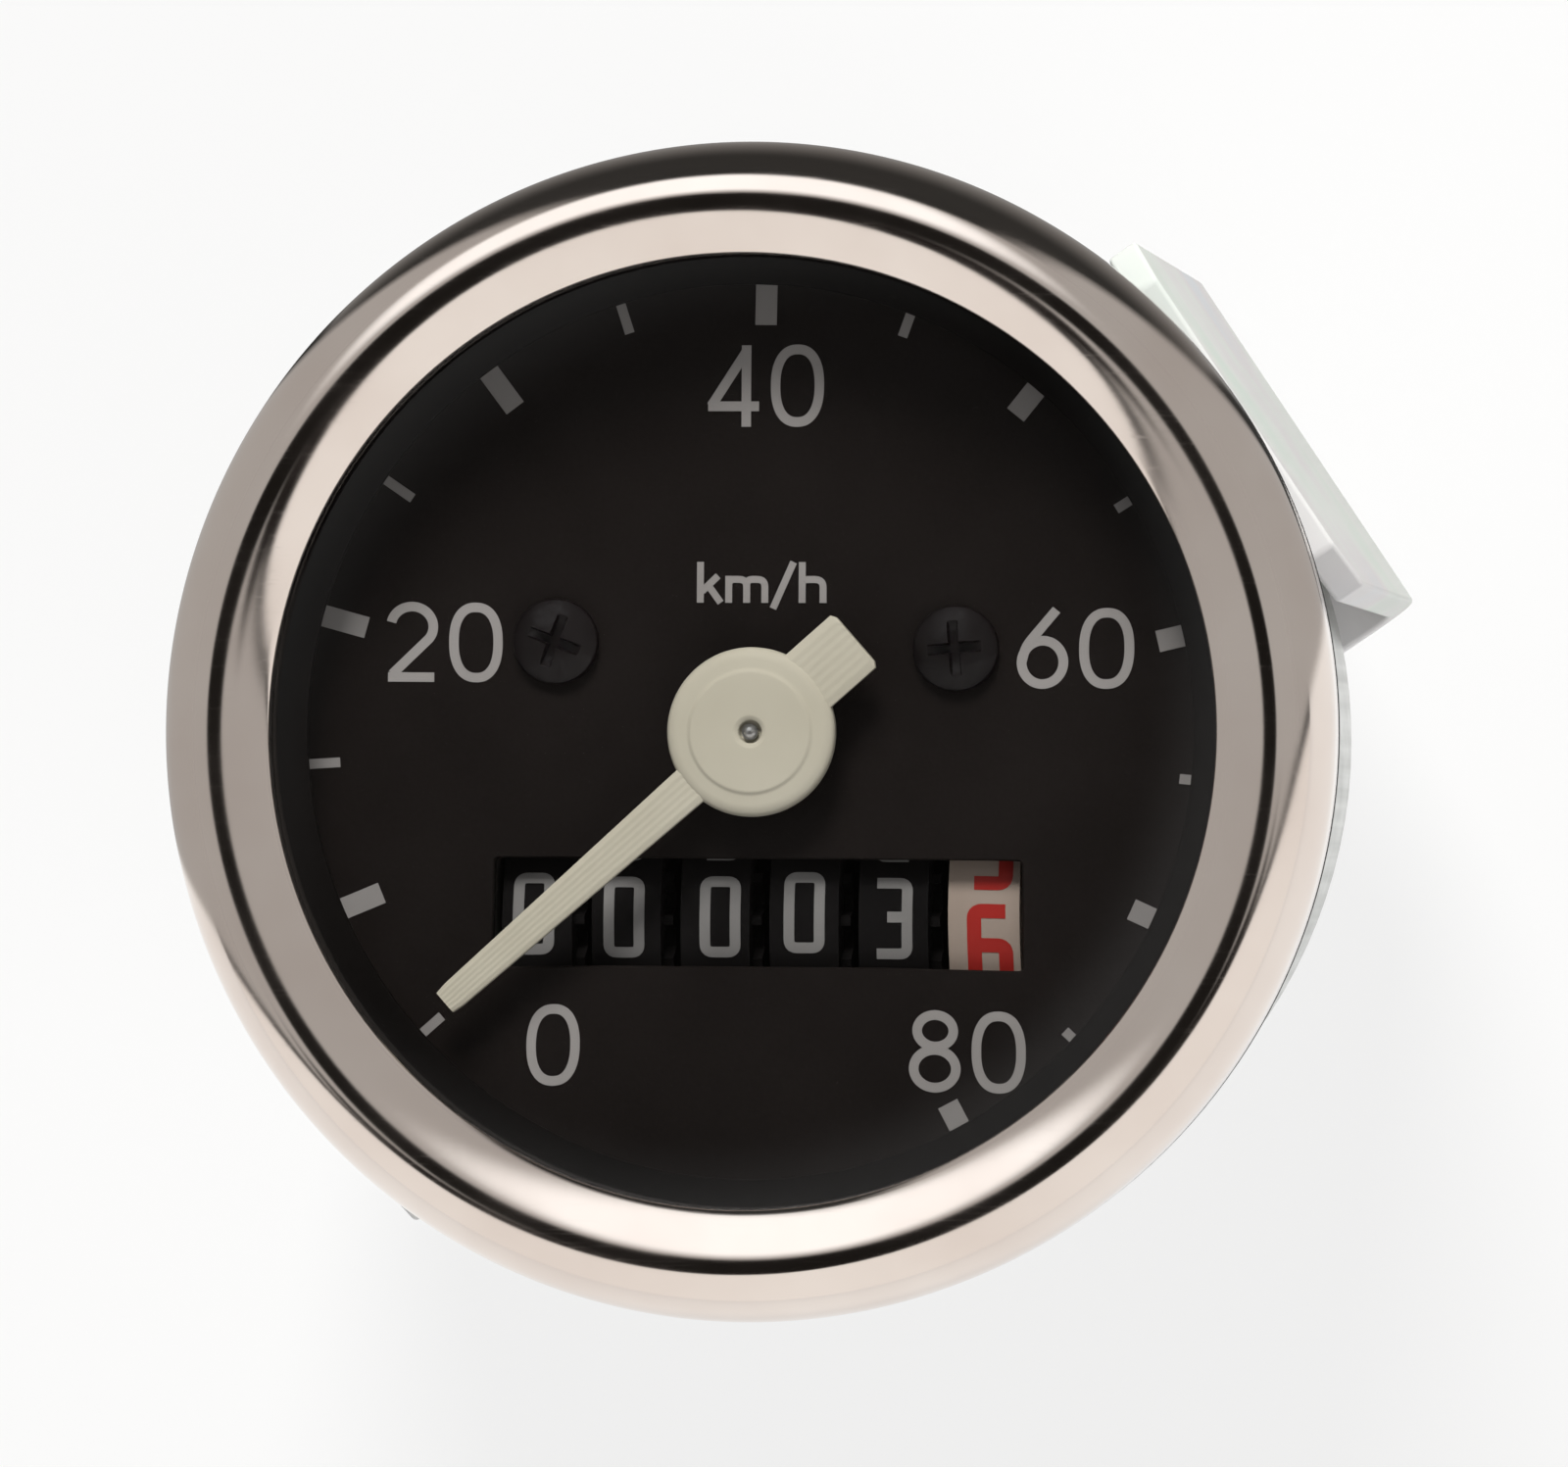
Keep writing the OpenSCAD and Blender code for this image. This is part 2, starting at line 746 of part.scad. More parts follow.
// Ring magnet on the spindle's boss
module magnet() {
    color("#5a5c60")
        tube(magnet_r, spindle_boss_r, carrier_top, magnet_top);
}

// Steel cup under and around the magnet, outside the drag cup
module magnet_carrier() {
    color("#9a9c9c")
        difference() {
            post(keeper_r, carrier_under, magnet_top);
            post(keeper_bore_r, carrier_top, magnet_top + over);
            post(spindle_boss_r, carrier_under - over, carrier_top + over);
        }
}

// Bronze bush of the spindle, inside the nipple
module spindle_bush() {
    color("#b08850")
        tube(bush_r, spindle_r + running_gap, bush_under, nipple_top);
}

// Washer between the nipple and the spindle's worm
module thrust_washer() {
    color("#c0a060")
        tube(spindle_r + 1.6, spindle_r + hole_gap, nipple_top, thrust_top);
}

// Ring on the spindle below its bush
module retaining_ring() {
    color("#707070")
        tube(spindle_r + 1.1, spindle_r, bush_under - running_gap - 0.5, bush_under - running_gap);
}

// Shaft along X with the wheel of the spindle worm and a left-hand worm of its own
module cross_shaft() {
    color("#c8b070")
        translate([0, cross_y, cross_z]) {
            bar_x(cross_shaft_r, near_post_x, far_post_x + post_w);
            rotate([0, 90, 0])
                rotate([0, 0, 90 + 180 / wheel_teeth])
                    gear(wheel_teeth, spindle_wheel_r, addendum, dedendum, wheel_w);
            translate([upright_x, 0, 0])
                rotate([0, 90, 0])
                    rotate([0, 0, 90])
                        worm(cross_worm_pitch, cross_worm_r, cross_worm_l, -1);
        }
}

// Two posts on the base plate that carry the cross shaft
module cross_shaft_posts() {
    half = cross_shaft_r + post_rim;
    color("#a9aaa6")
        for (x = [near_post_x, far_post_x])
            difference() {
                translate([x, cross_y - half, base_top])
                    cube([post_w, 2 * half, cross_z + half - base_top]);
                translate([0, cross_y, cross_z])
                    bar_x(cross_shaft_r + running_gap, x - over, x + post_w + over);
                post(nipple_flange_r, base_top - over, nipple_top);
            }
}

// Upright shaft with the wheel of the cross worm and the worm of the tenths drum
module upright_shaft() {
    low = step_z + running_gap;
    high = dial_under - skin_gap - running_gap;
    color("#c8b070")
        translate([upright_x, upright_y, 0]) {
            post(upright_shaft_r, low, high);
            translate([0, 0, cross_z])
                rotate([0, 0, 90 + 180 / wheel_teeth])
                    gear(wheel_teeth, cross_wheel_r, addendum, dedendum, wheel_w);
            translate([0, 0, drum_z])
                rotate([0, 0, -90])
                    worm(drum_worm_pitch, upright_worm_r, upright_worm_l, 1);
        }
}

// Side plate of the odometer, with tenons in the top plate
module cheek(from, bore) {
    color("#a9aaa6")
        difference() {
            union() {
                translate([from, cheek_back, cheek_low])
                    cube([cheek_t, cheek_front - cheek_back, plate_under - cheek_low]);
                for (y = tenon_y)
                    translate([from, y - tenon_l / 2, plate_under - eps])
                        cube([cheek_t, tenon_l, plate_t + eps]);
            }
            translate([0, drum_y, drum_z])
                bar_x(bore, from - over, from + cheek_t + over);
            translate([0, pinion_y, drum_z])
                bar_x(pinion_shaft_r, from - over, from + cheek_t + over);
        }
}

module left_cheek() {
    cheek(-cheek_out, drum_shaft_r);
}

module right_cheek() {
    cheek(cheek_x, wheel_sleeve_r + pass_gap);
}

// Fixed shaft that the drums turn on
module drum_shaft() {
    color("#b8b8b4")
        translate([0, drum_y, drum_z]) {
            bar_x(drum_shaft_r, -cheek_out, upright_x + wheel_w / 2 + 0.6);
            bar_x(drum_shaft_r + 0.5, upright_x + wheel_w / 2 + 0.1, upright_x + wheel_w / 2 + 0.6);
        }
}

// Fixed shaft that the carry pinions turn on
module pinion_shaft() {
    color("#b8b8b4")
        translate([0, pinion_y, drum_z])
            bar_x(pinion_shaft_r, -cheek_out, cheek_out);
}

// Number drum, counted from the left; the last one carries the worm wheel, the others a carry gear
module drum(index) {
    x = (index - (drum_count + 1) / 2) * drum_pitch;
    web = 0.9;
    last = index == drum_count;
    right = drum_rim_w / 2;
    wheel_x = upright_x - x;
    color(last ? "#d8d2c4" : "#1b1a19")
        translate([x, drum_y, drum_z])
            difference() {
                union() {
                    difference() {
                        bar_x(drum_r, -right, right);
                        bar_x(drum_r - 0.8, -right - over, right - web);
                    }
                    bar_x(drum_shaft_r + 0.8, -right, right);
                    if (last) {
                        bar_x(wheel_sleeve_r, 0, wheel_x);
                        translate([wheel_x, 0, 0])
                            rotate([0, 90, 0])
                                rotate([0, 0, 90 + 180 / wheel_teeth])
                                    gear(wheel_teeth, drum_wheel_r, addendum, dedendum, wheel_w);
                    } else {
                        translate([right + carry_w / 2 - eps, 0, 0])
                            rotate([0, 90, 0])
                                rotate([0, 0, 90])
                                    gear(carry_teeth, carry_r, carry_add, carry_ded, carry_w);
                    }
                }
                bar_x(drum_shaft_r + running_gap, -right - over, wheel_x + wheel_w);
            }
}

// Carry pinion between two drums, counted from the left, on its own sleeve
module carry_pinion(index) {
    x = (index - drum_count / 2) * drum_pitch;
    half = drum_pitch / 2 - 0.05;
    color("#d8d2c4")
        translate([x, pinion_y, drum_z])
            difference() {
                union() {
                    rotate([0, 90, 0])
                        rotate([0, 0, 90 + 180 / pinion_teeth])
                            gear(pinion_teeth, pinion_r, carry_add, carry_ded, pinion_w);
                    bar_x(pinion_sleeve_r, -half, half);
                }
                bar_x(pinion_shaft_r + running_gap, -half - over, half + over);
            }
}

// Nipple for the cable's union nut, seated on the base plate
module cable_nipple() {
    bevel = 0.8;
    color("#c2b27a")
        difference() {
            union() {
                post(nipple_r, nipple_end + bevel, nipple_top);
                post(nipple_neck_r, strap_under - over, nipple_top);
                post(nipple_flange_r, base_top, nipple_top);
                translate([0, 0, nipple_end])
                    cylinder(r1 = nipple_r - bevel, r2 = nipple_r, h = bevel);
            }
            post(bush_r, nipple_end - over, nipple_top + over);
            post(nipple_mouth_r, nipple_end - over, bush_under);
        }
}

// Two studs that hold base plate, case and strap together
module mounting_studs() {
    color("#c9ccc6")
        at_studs() {
            post(stud_r, nut_under - stud_end, base_top + eps);
            post(stud_r + 1.2, base_top, base_top + 1.2);
        }
}

// Outline of one U of the strap, in its own plane
module strap_outline(half, low, corner_r) {
    high = -panel_grip;
    translate([-half, low + corner_r])
        square([2 * half, high - low - corner_r]);
    translate([-half + corner_r, low])
        square([2 * (half - corner_r), corner_r + eps]);
    for (side = [-1, 1])
        translate([side * (half - corner_r), low + corner_r])
            circle(r = corner_r);
}

// U strap of zinc-plated steel: its legs press the panel against the gasket
module bracket() {
    corner = 3;
    color("#e3e7e2")
        rotate([0, 0, strap_angle])
            difference() {
                translate([0, strap_w / 2, 0])
                    rotate([90, 0, 0])
                        linear_extrude(height = strap_w)
                            difference() {
                                strap_outline(leg_out, strap_under, strap_bend_r);
                                translate([0, eps])
                                    strap_outline(leg_in, case_under - eps, strap_bend_r - strap_t);
                            }
                post(nipple_neck_r + 0.4, strap_under - over, case_under + over);
                for (side = [-1, 1]) {
                    translate([side * stud_reach, 0, 0])
                        post(stud_r + 1.5 * hole_gap, strap_under - over, case_under + over);
                    for (end = [-1, 1])
                        translate([side * (leg_in + strap_t / 2), end * strap_w / 2, -panel_grip])
                            rotate([45, 0, 0])
                                cube([strap_t + 2 * over, corner, corner], center = true);
                }
            }
}

// Two split spring washers
module spring_washers() {
    slit = 0.6;
    lock_w = 1.5;
    color("#9a9c9c")
        at_studs()
            difference() {
                tube(stud_r + lock_w, stud_r + hole_gap, nut_top, strap_under);
                translate([0, -slit / 2, nut_top - over])
                    cube([stud_r + lock_w + over, slit, lock_t + 2 * over]);
            }
}

// Two hexagon nuts
module nuts() {
    color("#c9ccc6")
        at_studs()
            difference() {
                translate([0, 0, nut_under])
                    cylinder(r = nut_flats / sqrt(3), h = nut_h, $fn = 6);
                post(stud_r, nut_under - over, nut_top + over);
            }
}

panel_gasket();
case();
bezel();
lens();
lens_seal();
spacer_ring();
dial();
dial_screws();
pointer();
pointer_shaft();
pointer_bush();
drag_cup();
hairspring();
spring_stud();
stop_pin();
top_plate();
upper_pillars();
bridge_plate();
lower_pillars();
movement_screws();
base_plate();
drive_spindle();
magnet();
magnet_carrier();
spindle_bush();
thrust_washer();
retaining_ring();
cross_shaft();
cross_shaft_posts();
upright_shaft();
left_cheek();
right_cheek();
drum_shaft();
pinion_shaft();
for (i = [1:drum_count])
    drum(i);
for (i = [1:drum_count - 1])
    carry_pinion(i);
cable_nipple();
mounting_studs();
bracket();
spring_washers();
nuts();
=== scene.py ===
import math

import bpy
import numpy as np
from mathutils import Matrix
from mathutils.geometry import tessellate_polygon


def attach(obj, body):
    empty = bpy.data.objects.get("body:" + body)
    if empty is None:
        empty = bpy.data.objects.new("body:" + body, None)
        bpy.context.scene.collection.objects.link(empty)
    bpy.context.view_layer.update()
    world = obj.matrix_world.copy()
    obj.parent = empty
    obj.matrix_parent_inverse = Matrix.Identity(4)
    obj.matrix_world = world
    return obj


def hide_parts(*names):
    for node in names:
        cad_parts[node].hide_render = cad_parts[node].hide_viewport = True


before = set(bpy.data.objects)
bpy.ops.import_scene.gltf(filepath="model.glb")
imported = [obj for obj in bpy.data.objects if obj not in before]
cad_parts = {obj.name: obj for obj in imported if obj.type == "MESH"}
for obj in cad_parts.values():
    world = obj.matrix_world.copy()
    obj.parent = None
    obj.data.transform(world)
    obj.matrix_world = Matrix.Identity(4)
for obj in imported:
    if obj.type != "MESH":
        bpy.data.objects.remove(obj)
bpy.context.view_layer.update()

# Studio. The instrument stands on the end of its cable nipple on a pale floor, dial upwards, and the
# camera looks down on it from a little to the right, as in the photograph. The floor shows almost white,
# keeps the shadow, and is clear from below.
mm = 0.001
PHOTO_W, FOCAL_PIXELS = 1600, 9665.0
SENSOR_W = 36.0
LEAN_RIGHT, LEAN_UP, ROLL = math.radians(8.1), math.radians(-0.65), math.radians(0.35)
AIM, EYE_AWAY = np.array([1.225, -0.04, 0.0]), 420.0
back = np.array([math.tan(LEAN_RIGHT), math.tan(LEAN_UP), 1.0])
back /= np.linalg.norm(back)
right = np.cross([0.0, 1.0, 0.0], back)
right /= np.linalg.norm(right)
above = np.cross(back, right)
right, above = (math.cos(ROLL) * right + math.sin(ROLL) * above,
                math.cos(ROLL) * above - math.sin(ROLL) * right)
eye = (AIM + EYE_AWAY * back) * mm
camera_data = bpy.data.cameras.new("camera")
camera_data.sensor_fit = "HORIZONTAL"
camera_data.sensor_width = SENSOR_W
camera_data.lens = FOCAL_PIXELS / PHOTO_W * SENSOR_W
camera_data.clip_start = 0.01
camera = bpy.data.objects.new("camera", camera_data)
camera.matrix_world = Matrix(np.block([[np.column_stack([right, above, back]), eye[:, None]],
                                       [np.array([[0.0, 0.0, 0.0, 1.0]])]]).tolist())
bpy.context.collection.objects.link(camera)
bpy.context.scene.camera = camera
bpy.context.scene.view_settings.view_transform = "Standard"


def mesh_object(name, points, faces, smooth_below=None):
    """A mesh object from points in millimetres and faces of point numbers.

    Faces shade smoothly across edges that bend less than smooth_below degrees.
    """
    mesh = bpy.data.meshes.new(name)
    mesh.from_pydata((np.asarray(points, float) * mm).tolist(), [], [list(face) for face in faces])
    mesh.update()
    if smooth_below is not None:
        mesh.shade_smooth()
        mesh.set_sharp_from_angle(angle=math.radians(smooth_below))
    thing = bpy.data.objects.new(name, mesh)
    bpy.context.collection.objects.link(thing)
    return thing


def node_in(tree, kind, *links, **values):
    """A node of that kind in a tree; links are (input, socket) pairs and values are its own settings."""
    node = tree.nodes.new(kind)
    for key, value in values.items():
        setattr(node, key, value)
    for key, value in links:
        if isinstance(value, bpy.types.NodeSocket):
            tree.links.new(value, node.inputs[key])
        else:
            node.inputs[key].default_value = value
    return node


def material_of(name):
    """A new node material: returns it, its node tree and its Principled shader."""
    material = bpy.data.materials.new(name)
    material.use_nodes = True
    return material, material.node_tree, material.node_tree.nodes["Principled BSDF"]


def ramp(tree, fac, *stops):
    """A colour ramp on a value: stops are (place, (r, g, b)) pairs in rising order."""
    node = node_in(tree, "ShaderNodeValToRGB", ("Fac", fac))
    for number, (place, colour) in enumerate(stops):
        stop = node.color_ramp.elements[number] if number < 2 else node.color_ramp.elements.new(place)
        stop.position = place
        stop.color = (*colour, 1.0)
    return node.outputs["Color"]


def spread(tree, value, low, high, to_low=0.0, to_high=1.0, smooth=False):
    """A value carried from low..high to to_low..to_high, held at the ends."""
    node = node_in(tree, "ShaderNodeMapRange", ("Value", value), ("From Min", low), ("From Max", high),
                   ("To Min", to_low), ("To Max", to_high))
    node.interpolation_type = "SMOOTHSTEP" if smooth else "LINEAR"
    return node.outputs["Result"]


FLOOR_Z, FLOOR_HALF = -49.67, 3000
floor = mesh_object("floor", [(-FLOOR_HALF, -FLOOR_HALF, FLOOR_Z), (FLOOR_HALF, -FLOOR_HALF, FLOOR_Z),
                              (FLOOR_HALF, FLOOR_HALF, FLOOR_Z), (-FLOOR_HALF, FLOOR_HALF, FLOOR_Z)],
                    [(0, 1, 2, 3)])
paper, tree, shader = material_of("white_paper")
shader.inputs["Base Color"].default_value = (0.86, 0.86, 0.85, 1.0)
shader.inputs["Roughness"].default_value = 0.9
path = node_in(tree, "ShaderNodeLightPath")
seen = node_in(tree, "ShaderNodeMath", (0, path.outputs["Is Camera Ray"]),
               (1, path.outputs["Is Glossy Ray"]), operation="MAXIMUM")
seen = node_in(tree, "ShaderNodeMath", (0, seen.outputs[0]),
               (1, path.outputs["Is Transmission Ray"]), operation="MAXIMUM")
share = node_in(tree, "ShaderNodeMath", (0, seen.outputs[0]), (1, 0.78), operation="MULTIPLY")
glow = node_in(tree, "ShaderNodeEmission", ("Color", (1.0, 1.0, 1.0, 1.0)), ("Strength", 1.0))
mixed = node_in(tree, "ShaderNodeMixShader", ("Fac", share.outputs[0]), (1, shader.outputs[0]),
                (2, glow.outputs[0]))
under = node_in(tree, "ShaderNodeNewGeometry").outputs["Backfacing"]
mixed = node_in(tree, "ShaderNodeMixShader", ("Fac", under), (1, mixed.outputs[0]),
                (2, node_in(tree, "ShaderNodeBsdfTransparent").outputs[0]))
tree.links.new(mixed.outputs[0], tree.nodes["Material Output"].inputs["Surface"])
floor.data.materials.append(paper)

# Card. A curved card beyond the object, seen only in reflections, darkens the floor there: a quarter
# ellipse from the floor up, swept round the object. It is grey, black at its foot and in its middle, where
# the black widens downwards and pales close to the object, and it ends with the room's grey half.
CARD_FOOT, CARD_DEEP, CARD_TALL = 26.5, 402, 330
CARD_MIDDLE, CARD_HALF_TURN = math.radians(99), 1.95
UP, ROUND = 17, 41
u, v = np.meshgrid(np.linspace(0, 1, UP), np.linspace(-1, 1, ROUND), indexing="ij")
angle = CARD_MIDDLE + v * CARD_HALF_TURN
reach = CARD_FOOT + CARD_DEEP * np.sin(u * np.pi / 2)
points = np.stack([reach * np.cos(angle), reach * np.sin(angle),
                   FLOOR_Z + 1 + CARD_TALL * (1 - np.cos(u * np.pi / 2))], -1).reshape(-1, 3)
grid = np.arange(UP * ROUND).reshape(UP, ROUND)
quads = np.stack([grid[:-1, :-1], grid[1:, :-1], grid[1:, 1:], grid[:-1, 1:]], -1).reshape(-1, 4)
card = mesh_object("dark_card", points, quads, 60)
cloth, tree, shader = material_of("dark_card")
place = node_in(tree, "ShaderNodeTexCoord").outputs["Object"]
flat = node_in(tree, "ShaderNodeVectorMath", (0, place), (1, (1.0, 1.0, 0.0)), operation="MULTIPLY")
compass = node_in(tree, "ShaderNodeVectorMath", (0, flat.outputs[0]), operation="NORMALIZE").outputs[0]
BLACK_MIDDLE, BLACK_TAPER = math.radians(92), -0.17
FOOT_BLACK, FOOT_GREY = 0.036, 0.044
middle = node_in(tree, "ShaderNodeVectorMath", (0, compass),
                 (1, (math.cos(BLACK_MIDDLE), math.sin(BLACK_MIDDLE), 0.0)),
                 operation="DOT_PRODUCT").outputs["Value"]
height = node_in(tree, "ShaderNodeSeparateXYZ", ("Vector", place)).outputs["Z"]
away = node_in(tree, "ShaderNodeVectorMath", (0, flat.outputs[0]), operation="LENGTH").outputs["Value"]
distance = node_in(tree, "ShaderNodeMath", (0, away), (1, math.e), operation="LOGARITHM").outputs[0]
black = node_in(tree, "ShaderNodeMath", (0, distance), (1, BLACK_TAPER), (2, middle),
                operation="MULTIPLY_ADD")
foot = spread(tree, away, FOOT_BLACK, FOOT_GREY, 1.3, 0.0, smooth=True)
black = node_in(tree, "ShaderNodeMath", (0, black.outputs[0]), (1, foot), operation="MAXIMUM")
pale_foot = spread(tree, distance, -3.5, -1.83, 0.4, 1.0, smooth=True)
beside = spread(tree, middle, 0.62, 0.74, 1.0, 0.0, smooth=True)
held = node_in(tree, "ShaderNodeMath", (0, pale_foot), (1, beside), operation="MAXIMUM")
black = node_in(tree, "ShaderNodeMath", (0, spread(tree, black.outputs[0], 1.02, 1.09)),
                (1, held.outputs[0]), operation="MULTIPLY")
tree.links.new(ramp(tree, black.outputs[0], (0.0, (0.44, 0.43, 0.42)), (1.0, (0.024, 0.024, 0.023))),
               shader.inputs["Emission Color"])
shader.inputs["Emission Strength"].default_value = 1.0
shader.inputs["Base Color"].default_value = (0.01, 0.01, 0.01, 1.0)
shader.inputs["Specular IOR Level"].default_value = 0.0
WALL = (-0.194, 0.961, 0.197)
facing = node_in(tree, "ShaderNodeVectorMath", (0, place), operation="NORMALIZE").outputs[0]
half = node_in(tree, "ShaderNodeVectorMath", (0, facing), (1, WALL), operation="DOT_PRODUCT")
faded = node_in(tree, "ShaderNodeMath", (0, spread(tree, height, 0.19, 0.27, 1.0, 0.0, smooth=True)),
                (1, spread(tree, half.outputs["Value"], -0.14, -0.09, smooth=True)), operation="MULTIPLY")
tree.links.new(faded.outputs[0], shader.inputs["Alpha"])
card.data.materials.append(cloth)
card.visible_camera = False
card.visible_diffuse = False
card.visible_shadow = False
card.visible_transmission = False

# Room and lamps. The pale half and the grey half of the room meet in a dark gap, and a bright window and a
# dark spot round the camera are laid over them. Only reflections see it: the camera sees plain white, and
# diffuse light comes evenly from all round and from two round lamps.
world = bpy.data.worlds.new("room")
bpy.context.scene.world = world
world.use_nodes = True
tree = world.node_tree
facing = node_in(tree, "ShaderNodeTexCoord").outputs["Generated"]


def towards(direction, rim, core):
    """A soft spot in the room: 1 within core degrees of a direction, 0 beyond rim degrees."""
    unit = np.array(direction, float) / np.linalg.norm(direction)
    dot = node_in(tree, "ShaderNodeVectorMath", (0, facing), (1, unit.tolist()), operation="DOT_PRODUCT")
    return spread(tree, dot.outputs["Value"], math.cos(math.radians(rim)), math.cos(math.radians(core)),
                  smooth=True)


def lay(under, mask, colour):
    """One room colour laid over another where the mask is 1."""
    node = node_in(tree, "ShaderNodeMix", data_type="RGBA")
    tree.links.new(mask, node.inputs[0])
    if isinstance(under, bpy.types.NodeSocket):
        tree.links.new(under, node.inputs[6])
    else:
        node.inputs[6].default_value = (*under, 1.0)
    node.inputs[7].default_value = (*colour, 1.0)
    return node.outputs[2]


half = node_in(tree, "ShaderNodeVectorMath", (0, facing), (1, WALL), operation="DOT_PRODUCT")
room = ramp(tree, spread(tree, half.outputs["Value"], -1.13, 0.87),
            (0.0, (0.96, 0.94, 0.92)), (0.474, (0.94, 0.92, 0.90)), (0.489, (0.02, 0.02, 0.02)),
            (0.501, (0.02, 0.02, 0.02)), (0.525, (0.46, 0.45, 0.44)), (1.0, (0.44, 0.43, 0.42)))
room = lay(room, towards((-0.208, 0.664, 0.72), 30, 18), (1.30, 1.32, 1.34))
aside = node_in(tree, "ShaderNodeMath", (0, half.outputs["Value"]), (1, 0.10), operation="ADD")
aside = node_in(tree, "ShaderNodeMath", (0, aside.outputs[0]), operation="ABSOLUTE")
near_gap = spread(tree, aside.outputs[0], 0.07, 0.13, 1.0, 0.0, smooth=True)
strip = node_in(tree, "ShaderNodeMath", (0, near_gap), (1, towards((-0.07, -0.15, 1.0), 38, 26)),
                operation="MULTIPLY")
room = lay(room, strip.outputs[0], (0.012, 0.010, 0.009))
room = lay(room, towards((-0.07, -0.07, 1.0), 19, 13), (0.010, 0.009, 0.008))
path = node_in(tree, "ShaderNodeLightPath")
room = lay(room, path.outputs["Is Diffuse Ray"], (0.27, 0.27, 0.27))
room = lay(room, path.outputs["Is Camera Ray"], (1.0, 1.0, 1.0))
tree.links.new(room, tree.nodes["Background"].inputs["Color"])
tree.nodes["Background"].inputs["Strength"].default_value = 1.0

for name, place, size, power in (("key_lamp", (-0.04, 0.62, 0.55), 0.3, 6.5),
                                 ("fill_lamp", (0.45, -0.35, 0.60), 0.5, 1.4)):
    lamp_data = bpy.data.lights.new(name, "AREA")
    lamp_data.shape = "DISK"
    lamp_data.size = size
    lamp_data.energy = power
    lamp_data.color = (1.0, 0.985, 0.96)
    lamp = bpy.data.objects.new(name, lamp_data)
    away = np.array(place) / np.linalg.norm(place)
    side = np.cross([0.0, 0.0, 1.0], away)
    side /= np.linalg.norm(side)
    lamp.matrix_world = Matrix(np.block([[np.column_stack([side, np.cross(away, side), away]),
                                          np.array(place)[:, None]],
                                         [np.array([[0.0, 0.0, 0.0, 1.0]])]]).tolist())
    lamp.visible_glossy = False
    lamp.visible_transmission = False
    bpy.context.collection.objects.link(lamp)


# Movement plates, pillars, screws and shafts. Nickel-plated sheet steel plates stand apart on three
# turned brass pillars, and steel screws run through them. All of it is closed in by the case and shows
# only when the instrument is opened, so the solids stay and take metal finishes.
wear = bpy.data.node_groups.new("handling_wear", "ShaderNodeTree")
for socket, default in (("Cloud Scale", 120.0), ("Grain Scale", 3000.0), ("Scratch Scale", 260.0)):
    scale = wear.interface.new_socket(name=socket, in_out="INPUT", socket_type="NodeSocketFloat")
    scale.default_value = default
for socket in ("Cloud", "Grain", "Scratch"):
    wear.interface.new_socket(name=socket, in_out="OUTPUT", socket_type="NodeSocketFloat")
put_in = wear.nodes.new("NodeGroupInput")
put_out = wear.nodes.new("NodeGroupOutput")
place = node_in(wear, "ShaderNodeTexCoord").outputs["Object"]
cloud = node_in(wear, "ShaderNodeTexNoise", ("Vector", place), ("Scale", put_in.outputs["Cloud Scale"]),
                ("Detail", 3.0))
wear.links.new(spread(wear, cloud.outputs[0], 0.3, 0.7), put_out.inputs["Cloud"])
grain = node_in(wear, "ShaderNodeTexNoise", ("Vector", place), ("Scale", put_in.outputs["Grain Scale"]),
                ("Detail", 2.0))
wear.links.new(grain.outputs[0], put_out.inputs["Grain"])
streaks = []
for turn in (0.5, -0.9):
    drawn = node_in(wear, "ShaderNodeMapping", ("Vector", place), ("Rotation", (turn, 0.4 * turn, turn)),
                    ("Scale", (1.0, 34.0, 6.0)))
    streak = node_in(wear, "ShaderNodeTexNoise", ("Vector", drawn.outputs[0]),
                     ("Scale", put_in.outputs["Scratch Scale"]), ("Detail", 1.0))
    streaks.append(spread(wear, streak.outputs[0], 0.66, 0.74))
both = node_in(wear, "ShaderNodeMath", (0, streaks[0]), (1, streaks[1]), operation="MAXIMUM")
wear.links.new(both.outputs[0], put_out.inputs["Scratch"])


def worn(tree, **scales):
    """The shared wear in a material, at that material's own scales: its Cloud, Grain and Scratch outputs."""
    group = tree.nodes.new("ShaderNodeGroup")
    group.node_tree = wear
    for key, value in scales.items():
        group.inputs[key.replace("_", " ").title()].default_value = value
    return group.outputs["Cloud"], group.outputs["Grain"], group.outputs["Scratch"]


def bump(tree, shader, height, depth, strength=0.5):
    """A height value as a bump of that depth in millimetres on a shader."""
    node = node_in(tree, "ShaderNodeBump", ("Height", height), ("Strength", strength),
                   ("Distance", depth * mm))
    tree.links.new(node.outputs["Normal"], shader.inputs["Normal"])


def metal(name, dull, bright, smooth, rough, cloud_scale=120.0, scratch_scale=260.0, depth=0.004):
    """A worn metal: cloudy tone between two colours, cloudy roughness, bright scratches and fine grain."""
    material, tree, shader = material_of(name)
    shader.inputs["Metallic"].default_value = 1.0
    cloud, grain, scratch = worn(tree, cloud_scale=cloud_scale, scratch_scale=scratch_scale)
    tree.links.new(ramp(tree, cloud, (0.0, dull), (1.0, bright)), shader.inputs["Base Color"])
    hazed = spread(tree, cloud, 0.0, 1.0, rough, smooth)
    scored = node_in(tree, "ShaderNodeMath", (0, scratch), (1, 0.10), (2, hazed), operation="MULTIPLY_ADD")
    tree.links.new(scored.outputs[0], shader.inputs["Roughness"])
    bump(tree, shader, grain, depth)
    return material


def paint(material, *nodes):
    """Gives solids that stay in view a finish in place of their plain colour."""
    for name in nodes:
        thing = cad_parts[name]
        thing.data.materials.clear()
        thing.data.materials.append(material)


